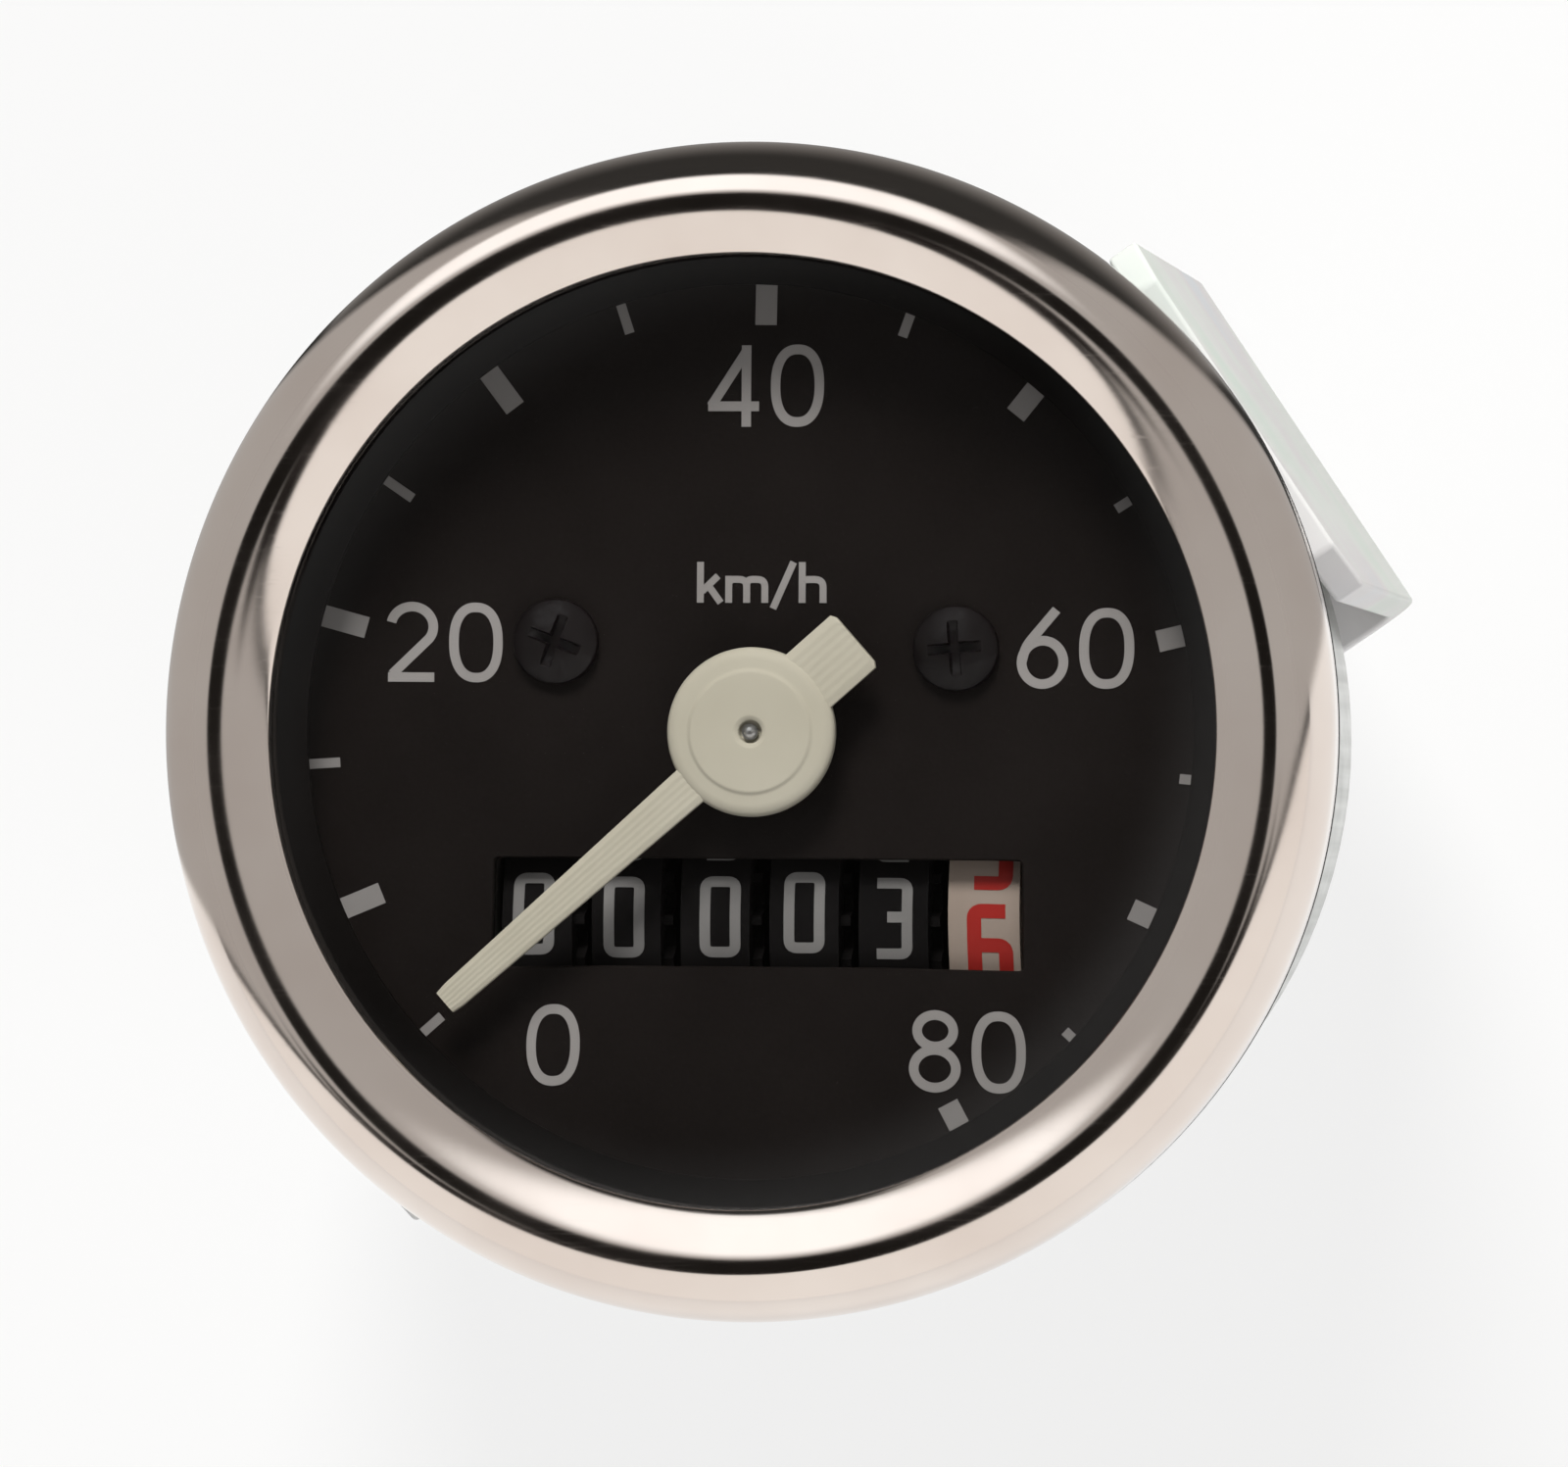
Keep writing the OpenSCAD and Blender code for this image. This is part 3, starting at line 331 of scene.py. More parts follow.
nickel = metal("nickel_plate", (0.50, 0.48, 0.44), (0.66, 0.64, 0.60), 0.24, 0.42)
bright_steel = metal("bright_steel", (0.42, 0.42, 0.41), (0.60, 0.60, 0.59), 0.18, 0.36)
brass = metal("turned_brass", (0.46, 0.33, 0.12), (0.66, 0.50, 0.22), 0.20, 0.40)
paint(nickel, "top_plate", "bridge_plate", "base_plate", "left_cheek", "right_cheek", "cross_shaft_posts")
paint(brass, "upper_pillars", "lower_pillars", "pointer_bush", "spring_stud", "spindle_bush",
      "thrust_washer")
paint(bright_steel, "movement_screws", "drum_shaft", "pinion_shaft", "stop_pin", "pointer_shaft",
      "drive_spindle")

# Magnet and drag cup. A grey ring magnet sits in a steel cup on the cable's spindle, and between them
# hangs a thin pressed aluminium cup on the pointer's shaft, held back by a blued hairspring.
paint(metal("sintered_magnet", (0.07, 0.07, 0.075), (0.12, 0.12, 0.125), 0.5, 0.7), "magnet")
paint(metal("pressed_aluminium", (0.58, 0.58, 0.58), (0.74, 0.74, 0.74), 0.25, 0.4), "drag_cup")
paint(metal("dark_steel", (0.16, 0.16, 0.16), (0.25, 0.25, 0.25), 0.3, 0.5),
      "magnet_carrier", "retaining_ring")
paint(metal("blued_steel", (0.10, 0.13, 0.28), (0.20, 0.24, 0.42), 0.2, 0.35), "hairspring")

# Worm shafts and carry pinions. Moulded from natural acetal, waxy and slightly see-through at the teeth.
# The two worm shafts run in the posts and the plates, and the pinions turn freely on their steel shaft.
acetal, tree, shader = material_of("natural_acetal")
cloud, grain, _ = worn(tree, cloud_scale=200.0)
tree.links.new(ramp(tree, cloud, (0.0, (0.62, 0.58, 0.48)), (1.0, (0.72, 0.69, 0.60))),
               shader.inputs["Base Color"])
tree.links.new(spread(tree, grain, 0.3, 0.7, 0.32, 0.46), shader.inputs["Roughness"])
shader.inputs["Subsurface Weight"].default_value = 0.1
shader.inputs["Subsurface Radius"].default_value = (0.001, 0.0008, 0.0005)
bump(tree, shader, grain, 0.003)
paint(acetal, "cross_shaft", "upright_shaft", *[f"carry_pinion_{number}" for number in range(1, 6)])

# Number drums. Six moulded drums turn on one shaft behind the dial's window: five black ones with pale
# figures and, on the right, a pale one for the tenths with red figures. The figures are printed ten to
# a turn, upright to the reader, and a higher figure follows below a lower one.
DRUM_R, DRUM_Y, DRUM_Z, DRUM_PITCH = 7.0, -8.35, -8.7, 4.0


def softened(corners, cut, steps=6, closed=True):
    """A line through corner points whose corners are rounded off.

    Each corner gives way to a parabola: it leaves the line at the distance cut before the corner, bends
    towards the corner, and comes back onto the line at the same distance after it.
    """
    corners = np.asarray(corners, float)
    before = corners - np.roll(corners, 1, axis=0)
    after = np.roll(corners, -1, axis=0) - corners
    reach_in = np.linalg.norm(before, axis=1, keepdims=True)
    reach_out = np.linalg.norm(after, axis=1, keepdims=True)
    cut = np.minimum(np.broadcast_to(np.asarray(cut, float).reshape(-1, 1), reach_in.shape),
                     0.49 * np.minimum(reach_in, reach_out))
    if not closed:
        cut = cut * np.r_[0.0, np.ones(len(corners) - 2), 0.0][:, None]
    start = corners - before / np.maximum(reach_in, 1e-9) * cut
    end = corners + after / np.maximum(reach_out, 1e-9) * cut
    s = np.linspace(0, 1, steps)[None, :, None]
    curve = (1 - s) ** 2 * start[:, None] + 2 * s * (1 - s) * corners[:, None] + s ** 2 * end[:, None]
    curve = curve.reshape(-1, 2)
    step = np.linalg.norm(np.diff(curve, axis=0, prepend=curve[:1] - 1.0), axis=1)
    return curve[step > 1e-6]


def stepped(line, spacing, closed=False):
    """The same line with points at most spacing apart, by its length along the line."""
    if closed:
        line = np.vstack([line, line[:1]])
    along = np.r_[0.0, np.cumsum(np.linalg.norm(np.diff(line, axis=0), axis=1))]
    places = np.union1d(along, np.linspace(0, along[-1], int(along[-1] / spacing) + 2))
    places = places[np.r_[True, np.diff(places) > spacing * 0.05]]
    result = np.column_stack([np.interp(places, along, line[:, 0]), np.interp(places, along, line[:, 1])])
    return result[:-1] if closed else result


def stroke(line, width, low, high, closed=False):
    """One painted stroke: a flat bar of that width along a line, from height low to high.

    Every point of the line gives a rectangle, half the width to either side along the line's normal,
    which is its direction turned by a quarter; neighbouring rectangles are joined. Returns its points as
    (x, y, height) and its faces.
    """
    line = np.asarray(line, float)
    if closed:
        along = np.roll(line, -1, axis=0) - np.roll(line, 1, axis=0)
    else:
        along = np.gradient(line, axis=0)
    along /= np.linalg.norm(along, axis=1, keepdims=True)
    normal = np.column_stack([-along[:, 1], along[:, 0]]) * width / 2
    count = len(line)
    tall = np.full(count, high)
    deep = np.full(count, low)
    points = np.stack([np.column_stack([line + normal, deep]), np.column_stack([line - normal, deep]),
                       np.column_stack([line - normal, tall]), np.column_stack([line + normal, tall])], 1)
    ring = np.arange(count * 4).reshape(count, 4)
    following = np.roll(ring, -1, axis=0) if closed else ring[1:]
    ring = ring if closed else ring[:-1]
    faces = np.stack([ring, following, np.roll(following, -1, axis=1), np.roll(ring, -1, axis=1)],
                     -1).reshape(-1, 4)[:, ::-1]
    if not closed:
        faces = np.vstack([faces, np.arange(4)[None], count * 4 - 1 - np.arange(4)[None]])
    return points.reshape(-1, 3), faces


def gathered(parts):
    """Several (points, faces) pairs as one pair, with the face numbers moved on."""
    starts = np.cumsum([0] + [len(points) for points, faces in parts[:-1]])
    return (np.vstack([points for points, faces in parts]),
            np.vstack([faces + start for (points, faces), start in zip(parts, starts)]))


# Centre lines of the block figures on a grid one wide and two high; True marks a closed line
BLOCK = {
    0: [([(0, 0), (1, 0), (1, 2), (0, 2)], True)],
    1: [([(0.12, 1.6), (0.58, 2), (0.58, 0)], False)],
    2: [([(0, 2), (1, 2), (1, 1.02), (0, 1.02), (0, 0), (1, 0)], False)],
    3: [([(0, 2), (1, 2), (1, 0), (0, 0)], False), ([(0.35, 1.04), (1, 1.04)], False)],
    4: [([(0, 2), (0, 0.72), (1.05, 0.72)], False), ([(0.74, 1.35), (0.74, 0)], False)],
    5: [([(1, 2), (0, 2), (0, 1.06), (1, 1.06), (1, 0), (0, 0)], False)],
    6: [([(1, 2), (0, 2), (0, 0), (1, 0), (1, 1.06), (0, 1.06)], False)],
    7: [([(0, 2), (1, 2), (0.42, 0)], False)],
    8: [([(0, 0), (1, 0), (1, 2), (0, 2)], True), ([(0, 1.02), (1, 1.02)], False)],
    9: [([(0, 0), (1, 0), (1, 2), (0, 2), (0, 0.94), (1, 0.94)], False)],
}
FIGURE_W, FIGURE_H = 1.36, 3.16


def drum_figures(name, x, reading, bold):
    """Ten block figures round a drum: a flat figure's height becomes an angle round the drum's axis.

    The figure that equals the reading faces the window, and each next one lies a tenth of a turn below.
    """
    parts = []
    for figure, lines in BLOCK.items():
        for coat, (corners, closed) in enumerate(lines):
            corners = (np.array(corners, float) - (0.5, 1.0)) * (FIGURE_W, FIGURE_H / 2)
            line = stepped(softened(corners, 0.36, closed=closed), 0.25, closed)
            points, faces = stroke(line, bold, -0.01, 0.02 + 0.004 * coat, closed)
            angle = points[:, 1] / DRUM_R + (reading - figure) * math.radians(36.0)
            radius = DRUM_R + points[:, 2]
            points = np.column_stack([x + points[:, 0], DRUM_Y + radius * np.sin(angle),
                                      DRUM_Z + radius * np.cos(angle)])
            parts.append((points, faces))
    return mesh_object(name, *gathered(parts))


def moulded(name, deep, pale, smooth, rough, depth=0.006, grain_scale=3000.0, shine=0.5):
    """A moulded or painted surface: slightly cloudy colour, grainy gloss and a fine bump."""
    material, tree, shader = material_of(name)
    shader.inputs["Specular IOR Level"].default_value = shine
    cloud, grain, _ = worn(tree, grain_scale=grain_scale)
    tree.links.new(ramp(tree, cloud, (0.0, deep), (1.0, pale)), shader.inputs["Base Color"])
    tree.links.new(spread(tree, grain, 0.3, 0.7, smooth, rough), shader.inputs["Roughness"])
    bump(tree, shader, grain, depth)
    return material


drum_black = moulded("black_drum", (0.0055, 0.005, 0.005), (0.0105, 0.0096, 0.0096), 0.5, 0.65, shine=0.06)
drum_pale = moulded("pale_drum", (0.275, 0.22, 0.182), (0.33, 0.27, 0.23), 0.45, 0.6, shine=0.3)
figure_pale = moulded("pale_figures", (0.17, 0.165, 0.16), (0.24, 0.235, 0.23), 0.5, 0.65, shine=0.2)
figure_red = moulded("red_figures", (0.28, 0.016, 0.012), (0.34, 0.023, 0.018), 0.45, 0.6, shine=0.3)
READINGS = (0.06, 0.025, 0.035, 0.085, 3.03, 5.76)
ASIDES = (-0.16, -0.10, 0.23, 0.01, -0.06, 0.26)
for number, (reading, aside) in enumerate(zip(READINGS, ASIDES), 1):
    tenths = number == 6
    paint(drum_pale if tenths else drum_black, f"drum_{number}")
    figures = drum_figures(f"drum_{number}_figures", (number - 3.5) * DRUM_PITCH + aside, reading,
                           0.62 if tenths else 0.48)
    figures.data.materials.append(figure_red if tenths else figure_pale)
    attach(figures, f"drum_{number}_set")

# Dial. A sheet disc, sprayed satin black and screen-printed in greyish white: a stroke for every five
# units, broad at the tens, figures at every twenty, and the unit under the forty. The strokes run out
# under the black ring. It lies on the top plate and is held by two screws.
DIAL_Z, DIAL_R, DIAL_THICK = -0.8, 22.6, 0.6
SHAFT_HOLE_R = 2.05
WINDOW_X, WINDOW_LOW, WINDOW_HIGH = 11.8, -10.4, -5.62


def sheet(name, loops, low, high, ease):
    """A flat sheet whose first loop of points is its rim and whose others are openings.

    The loops run with the sheet on their left. Each gives a wall from low to high, whose upper edge is
    cut back by ease, upwards and along the loop's normal. Triangles fill the faces between the loops.
    """
    line = np.vstack(loops)
    starts = np.cumsum([0] + [len(loop) for loop in loops])
    here = np.arange(len(line))
    onward = np.concatenate([np.roll(here[start:end], -1) for start, end in zip(starts, starts[1:])])
    along = line[onward] - line[np.argsort(onward)]
    along /= np.linalg.norm(along, axis=1, keepdims=True)
    inward = np.column_stack([-along[:, 1], along[:, 0]]) * ease
    count = len(line)
    points = np.vstack([np.column_stack([line, np.full(count, low)]),
                        np.column_stack([line, np.full(count, high - ease)]),
                        np.column_stack([line + inward, np.full(count, high)])])
    wall = np.column_stack([here, onward, onward + count, here + count])
    fill = np.array(tessellate_polygon([loop.tolist() for loop in loops]))
    one, two = line[fill[:, 1]] - line[fill[:, 0]], line[fill[:, 2]] - line[fill[:, 0]]
    over = one[:, 0] * two[:, 1] < one[:, 1] * two[:, 0]
    fill[over] = fill[over][:, ::-1]
    walls = np.vstack([wall, wall + count]).tolist()
    return mesh_object(name, points, walls + (fill + 2 * count).tolist() + fill[:, ::-1].tolist())


turn = np.linspace(0, 2 * np.pi, 256, endpoint=False)
rim = DIAL_R * np.column_stack([np.cos(turn), np.sin(turn)])
hole = rim[::-4] * (SHAFT_HOLE_R / DIAL_R)
window = softened([(-WINDOW_X, WINDOW_LOW), (-WINDOW_X, WINDOW_HIGH), (WINDOW_X, WINDOW_HIGH),
                   (WINDOW_X, WINDOW_LOW)], 0.2, 5)
dial = sheet("dial_face", [rim, hole, window], DIAL_Z - DIAL_THICK, DIAL_Z, 0.07)
dial.data.materials.append(moulded("dial_enamel", (0.0080, 0.0062, 0.0056), (0.0115, 0.0092, 0.0084),
                                   0.5, 0.66, 0.010, 5200.0, 0.12))
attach(dial, "housing")
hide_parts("dial")
PRINT_LOW, PRINT_HIGH, COAT = DIAL_Z - 0.01, DIAL_Z + 0.02, 0.004
SCALE_TOP, SCALE_STEP, SCALE_Y, SCALE_R = 89.17, 18.9, -0.2, 20.6
TEN_W, TEN_R, FIVE_W, FIVE_R = 0.95, 18.1, 0.43, 18.65


def scale_stroke(value):
    """One stroke of the scale, along the radius: one even step for every five units, with forty on top."""
    angle = math.radians(SCALE_TOP - (value - 40.0) / 5.0 * SCALE_STEP)
    width, start = (TEN_W, TEN_R) if value % 10 == 0 else (FIVE_W, FIVE_R)
    radius = np.linspace(start, SCALE_R, 4)
    line = np.column_stack([radius * math.cos(angle), radius * math.sin(angle) + SCALE_Y])
    return stroke(line, width, PRINT_LOW, PRINT_HIGH)


def oval(centre_x, centre_y, half_w, half_h, start=0.0, end=360.0, power=2.0, steps=64):
    """Part of an oval from one angle to another: cosine and sine, each raised to 2 / power.

    A power of 2 gives an ellipse and a higher one fuller shoulders.
    """
    turn = np.radians(np.linspace(start, end, steps, endpoint=abs(end - start) < 360.0))
    cosine, sine = np.cos(turn), np.sin(turn)
    return np.column_stack([centre_x + half_w * np.sign(cosine) * np.abs(cosine) ** (2.0 / power),
                            centre_y + half_h * np.sign(sine) * np.abs(sine) ** (2.0 / power)])


# Centre lines of the printed figures in millimetres, about their middles, before they are sized
FIGURES = {
    "0": [(oval(0, 0, 1.03, 1.65, power=2.35), True)],
    "2": [(np.vstack([oval(0, 0.72, 0.98, 0.93, 168, -38, steps=40), [(-0.93, -1.52)]]), False),
          (np.array([(-1.12, -1.65), (1.02, -1.65)]), False)],
    "4": [(np.array([(0.62, 1.66), (-1.10, -0.93)]), False),
          (np.array([(-1.24, -0.93), (1.16, -0.93)]), False),
          (np.array([(0.56, 1.84), (0.56, -1.86)]), False)],
    "6": [(oval(0.05, -0.64, 0.95, 1.01), True),
          (softened([(0.66, 1.80), (-0.72, 0.12), (-0.90, -0.64)], 0.55, closed=False), False)],
    "8": [(oval(0.03, 0.93, 0.84, 0.72), True), (oval(0, -0.80, 0.98, 0.86), True)],
}
# Centre lines of the unit, on their base line
UNIT = [
    np.array([(-2.70, 0.0), (-2.70, 1.85)]),
    np.array([(-2.62, 0.52), (-1.92, 1.22)]),
    np.array([(-2.36, 0.80), (-1.80, 0.0)]),
    np.array([(-1.45, 0.0), (-1.45, 1.22)]),
    softened([(-1.45, 0.55), (-1.45, 1.06), (-0.66, 1.06), (-0.66, 0.0)], 0.34, closed=False),
    softened([(-0.66, 0.55), (-0.66, 1.06), (0.14, 1.06), (0.14, 0.0)], 0.34, closed=False),
    np.array([(0.50, -0.26), (1.40, 1.85)]),
    np.array([(1.78, 0.0), (1.78, 1.85)]),
    softened([(1.78, 0.55), (1.78, 1.06), (2.70, 1.06), (2.70, 0.0)], 0.36, closed=False),
]
DIGIT_PITCH, DIGIT_SIZE, DIGIT_BOLD = 2.80, 0.945, 0.42
UNIT_SIZE, UNIT_AT, UNIT_BOLD = (1.02, 0.98), (0.15, 5.76), 0.31


def printed(word, x, y):
    """A figure of one or two digits, printed about a place on the dial."""
    parts = []
    for number, digit in enumerate(word):
        shift = (x + (number - (len(word) - 1) / 2) * DIGIT_PITCH, y)
        parts += [stroke(stepped(line * DIGIT_SIZE, 0.5, closed) + shift, DIGIT_BOLD,
                         PRINT_LOW, PRINT_HIGH + COAT * coat, closed)
                  for coat, (line, closed) in enumerate(FIGURES[digit])]
    return parts


print_white = moulded("dial_print", (0.26, 0.247, 0.238), (0.33, 0.314, 0.305), 0.5, 0.66, shine=0.2)
# Painted shade: the strokes are the same print as the figures. They reach out under the black ring and the
# bezel, where shade falls, so they take a darker copy of the print's colour.
print_in_painted_shade = moulded("dial_marks_painted_shade", (0.22, 0.208, 0.2), (0.28, 0.267, 0.26), 0.5, 0.66, shine=0.2)
scale_marks = mesh_object("scale_marks", *gathered([scale_stroke(value) for value in range(5, 85, 5)]))
scale_figures = mesh_object("scale_figures", *gathered(
    printed("20", -14.08, 3.95) + printed("40", 0.28, 15.29) + printed("60", 14.01, 3.75)
    + printed("80", 9.33, -13.94) + printed("0", -9.03, -13.82)))
unit_mark = mesh_object("unit_mark", *gathered(
    [stroke(stepped(line * UNIT_SIZE, 0.5) + UNIT_AT, UNIT_BOLD, PRINT_LOW, PRINT_HIGH + COAT * coat)
     for coat, line in enumerate(UNIT)]))
for piece in (scale_marks, scale_figures, unit_mark):
    piece.data.materials.append(print_in_painted_shade if piece is scale_marks else print_white)
    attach(piece, "housing")


# Dial screws. Two blackened round-head steel screws with crossed recesses hold the dial to its plate. Each
# was driven by hand, so their recesses end up at different angles.
HEAD_R, HEAD_TALL, BALL_R = 1.9, 1.1, 3.286
RECESS_HALF, RECESS_REACH, RECESS_DEEP = 0.21, 1.22, 0.5
RINGS, AROUND = 60, 240


def screw_head(name, at, turned_by):
    """A round screw head: a ball's cap over a short rim, less a crossed recess.

    The recess is a share from 0 to 1 of its depth: the larger of two bars, each 1 within half its width
    of its line and falling off over 0.06 mm, and each shallower towards its ends as the cube of the place.
    """
    turn = np.linspace(0, 2 * np.pi, AROUND, endpoint=False)
    reach = np.r_[np.linspace(0.03, 1.86, RINGS), HEAD_R, HEAD_R]
    x, y = reach[:, None] * np.cos(turn), reach[:, None] * np.sin(turn)
    along = x * math.cos(turned_by) + y * math.sin(turned_by)
    across = y * math.cos(turned_by) - x * math.sin(turned_by)
    bars = [np.clip((RECESS_HALF - np.abs(side)) / 0.06 + 0.5, 0, 1)
            * np.clip(1 - np.abs(line / RECESS_REACH) ** 3, 0, 1)
            for line, side in ((along, across), (across, along))]
    cap = np.sqrt(BALL_R ** 2 - reach ** 2) - BALL_R - np.r_[np.zeros(RINGS), 0.03, 0.495]
    height = DIAL_Z + HEAD_TALL + cap[:, None] - RECESS_DEEP * np.maximum(*bars)
    points = np.vstack([np.stack([x + at[0], y + at[1], height], -1).reshape(-1, 3), [(*at, DIAL_Z + 0.6)]])
    grid = np.arange(x.size).reshape(x.shape)
    onward = np.roll(grid, -1, axis=1)
    faces = np.stack([grid[:-1], grid[1:], onward[1:], onward[:-1]], -1).reshape(-1, 4).tolist()
    faces += np.column_stack([np.full(AROUND, x.size), grid[0], onward[0]]).tolist()
    faces.append(grid[-1][::-1].tolist())
    return mesh_object(name, points, faces, 50)


heads = [screw_head("dial_screw_1", (-9.05, 4.02), math.radians(-20)),
         screw_head("dial_screw_2", (8.88, 3.76), math.radians(5))]
blackened = moulded("blackened_steel", (0.003, 0.0022, 0.0022), (0.007, 0.005, 0.005), 0.3, 0.5, shine=0.3)
for piece in heads:
    piece.data.materials.append(blackened)
    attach(piece, "housing")
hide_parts("dial_screws")


# Pointer. Moulded in ivory plastic: a stepped hub pressed on the shaft's thin end, a long arm that tapers
# to a blunt tip, and a short broad tail for balance. Fine ribs run along the arm and the tail.
def turned(name, profile, around=192, cut=None, at=(0.0, 0.0)):
    """A turned piece: a closed profile of (radius, height) points carried once round an upright axis.

    A profile that starts and ends on the axis closes there in one point at either end. A cut is a depth
    taken off the radius, from the turn, radius and height of every point.
    """
    profile = np.asarray(profile, float)
    capped = profile[0, 0] == 0.0
    ring = profile[1:-1] if capped else profile
    area = np.sum(profile[:, 0] * np.roll(profile[:, 1], -1) - np.roll(profile[:, 0], -1) * profile[:, 1])
    if area < 0:
        ring, profile = ring[::-1], profile[::-1]
    turn = np.linspace(0, 2 * np.pi, around, endpoint=False)[:, None]
    radius = ring[:, 0] - (0.0 * turn if cut is None else cut(turn, ring[:, 0], ring[:, 1]))
    points = np.stack([at[0] + radius * np.cos(turn), at[1] + radius * np.sin(turn),
                       np.broadcast_to(ring[:, 1], radius.shape)], -1).reshape(-1, 3)
    grid = np.arange(around * len(ring)).reshape(around, len(ring))
    onward = np.roll(grid, -1, axis=0)
    if capped:
        low, high = len(points), len(points) + 1
        points = np.vstack([points, [(*at, profile[0, 1]), (*at, profile[-1, 1])]])
        quads = np.stack([grid[:, :-1], onward[:, :-1], onward[:, 1:], grid[:, 1:]], -1).reshape(-1, 4)
        fans = np.vstack([np.column_stack([np.full(around, low), onward[:, 0], grid[:, 0]]),
                          np.column_stack([np.full(around, high), grid[:, -1], onward[:, -1]])])
        faces = quads.tolist() + fans.tolist()
    else:
        faces = np.stack([grid, onward, np.roll(onward, -1, axis=1), np.roll(grid, -1, axis=1)],
                         -1).reshape(-1, 4).tolist()
    return mesh_object(name, points, faces, 32)


REST_ANGLE = math.radians(221.5)
ARM_LOW, ARM_HIGH, RIB_DEEP = 0.95, 1.45, 0.016


def blade(name, start, end, start_w, end_w, ribs):
    """A flat ribbed blade along the pointer's direction.

    Its cross-section is a loop: a flat underside and a top whose height falls off at the edges as the
    eighth power of the place across, less a cosine for each rib. The width changes evenly from one end
    to the other, and both ends are drawn in over the last tenths of a millimetre.
    """
    across = np.r_[np.linspace(-1, 1, 61), np.linspace(1, -1, 9)]
    on_top = np.r_[np.ones(61), np.zeros(9)]
    crown = 0.10 * across ** 8 + RIB_DEEP * (0.5 - 0.5 * np.cos(np.pi * (across + 1) * ribs))
    height = np.where(on_top > 0, ARM_HIGH - crown, ARM_LOW + 0.06 * across ** 8)
    s = np.r_[0.0, 0.01, 0.03, np.linspace(0.06, 0.94, 24), 0.97, 0.99, 1.0]
    drawn = 1.0 - 0.16 * np.maximum(np.abs(2 * s - 1) - 0.94, 0) / 0.06 * np.abs(end_w / start_w)
    half = (start_w + (end_w - start_w) * s) / 2 * drawn
    along = np.broadcast_to((start + (end - start) * s)[:, None], (len(s), len(across)))
    sideways = half[:, None] * across
    points = np.stack([along * math.cos(REST_ANGLE) - sideways * math.sin(REST_ANGLE),
                       along * math.sin(REST_ANGLE) + sideways * math.cos(REST_ANGLE),
                       np.broadcast_to(height, along.shape)], -1).reshape(-1, 3)
    grid = np.arange(len(s) * len(across)).reshape(len(s), len(across))
    faces = np.stack([grid[:-1], grid[1:], np.roll(grid[1:], -1, axis=1), np.roll(grid[:-1], -1, axis=1)],
                     -1).reshape(-1, 4).tolist()
    faces += [grid[0].tolist(), grid[-1][::-1].tolist()]
    if end < start:
        faces = [face[::-1] for face in faces]
    return mesh_object(name, points, faces, 40)


ivory = moulded("ivory_plastic", (0.47, 0.44, 0.352), (0.54, 0.51, 0.418), 0.38, 0.54, 0.008, 2600.0,
                shine=0.35)
hub_line = softened([(0.35, 0.1), (1.45, 0.1), (1.45, 0.7), (3.75, 0.7), (3.75, 1.36), (3.40, 1.56),
                     (2.80, 1.60), (2.66, 1.7), (0.72, 1.7), (0.52, 1.6), (0.46, 1.25), (0.35, 1.2)],
                    (0.02, 0.1, 0.1, 0.12, 0.2, 0.2, 0.1, 0.1, 0.06, 0.08, 0.04, 0.02), 6)
hub = turned("pointer_hub", hub_line, 128)
arm = blade("pointer_arm", start=1.2, end=18.1, start_w=1.90, end_w=1.24, ribs=6)
tail = blade("pointer_tail", start=-1.2, end=-6.2, start_w=3.05, end_w=3.05, ribs=8)
for piece in (hub, arm, tail):
    piece.data.materials.append(ivory)
    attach(piece, "pointer_set")
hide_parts("pointer")
pin = turned("pointer_pin", [(0.0, 1.1), (0.28, 1.1), (0.28, 1.58), (0.22, 1.65), (0.12, 1.69), (0.0, 1.7)],
             48)
pin.data.materials.append(bright_steel)
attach(pin, "pointer_set")

# Black ring, glass and seal. A moulded black ring stands on the dial and hides its edge. A flat pane
# lies above it on a thin rubber ring, and the bezel presses both down.
RING_BORE, RING_HIGH = 19.64, 2.3
GLASS_LOW, GLASS_HIGH, GLASS_R = 3.0, 4.7, 23.8
black_plastic = moulded("black_plastic", (0.0035, 0.0029, 0.0026), (0.006, 0.005, 0.0046), 0.5, 0.66,
                        shine=0.07)
ring_line = softened([(20.35, DIAL_Z), (DIAL_R, DIAL_Z), (DIAL_R, RING_HIGH), (RING_BORE, RING_HIGH),
                      (RING_BORE, 2.0)], (0.05, 0.1, 0.1, 0.1, 0.1), 5)
spacer = turned("black_ring", ring_line)
spacer.data.materials.append(black_plastic)
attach(spacer, "housing")
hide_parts("spacer_ring")
rubber = moulded("black_rubber", (0.010, 0.010, 0.010), (0.022, 0.021, 0.020), 0.7, 0.9, 0.012, 1800.0)
paint(rubber, "lens_seal")

glass, tree, shader = material_of("window_glass")
shader.inputs["Base Color"].default_value = (1.0, 1.0, 1.0, 1.0)
shader.inputs["Transmission Weight"].default_value = 1.0
shader.inputs["IOR"].default_value = 1.45
scratch = worn(tree, scratch_scale=120.0)[2]
tree.links.new(spread(tree, scratch, 0.0, 1.0, 0.0, 0.02), shader.inputs["Roughness"])
path = node_in(tree, "ShaderNodeLightPath")
passing = node_in(tree, "ShaderNodeMath", (0, path.outputs["Is Shadow Ray"]),
                  (1, path.outputs["Is Diffuse Ray"]), operation="MAXIMUM")
clear = node_in(tree, "ShaderNodeBsdfTransparent")
mixed = node_in(tree, "ShaderNodeMixShader", ("Fac", passing.outputs[0]), (1, shader.outputs[0]),
                (2, clear.outputs[0]))
tree.links.new(mixed.outputs[0], tree.nodes["Material Output"].inputs["Surface"])
pane_edge = softened([(12.0, GLASS_LOW), (GLASS_R, GLASS_LOW), (GLASS_R, GLASS_HIGH), (12.0, GLASS_HIGH)],
                     0.12, 4, closed=False)
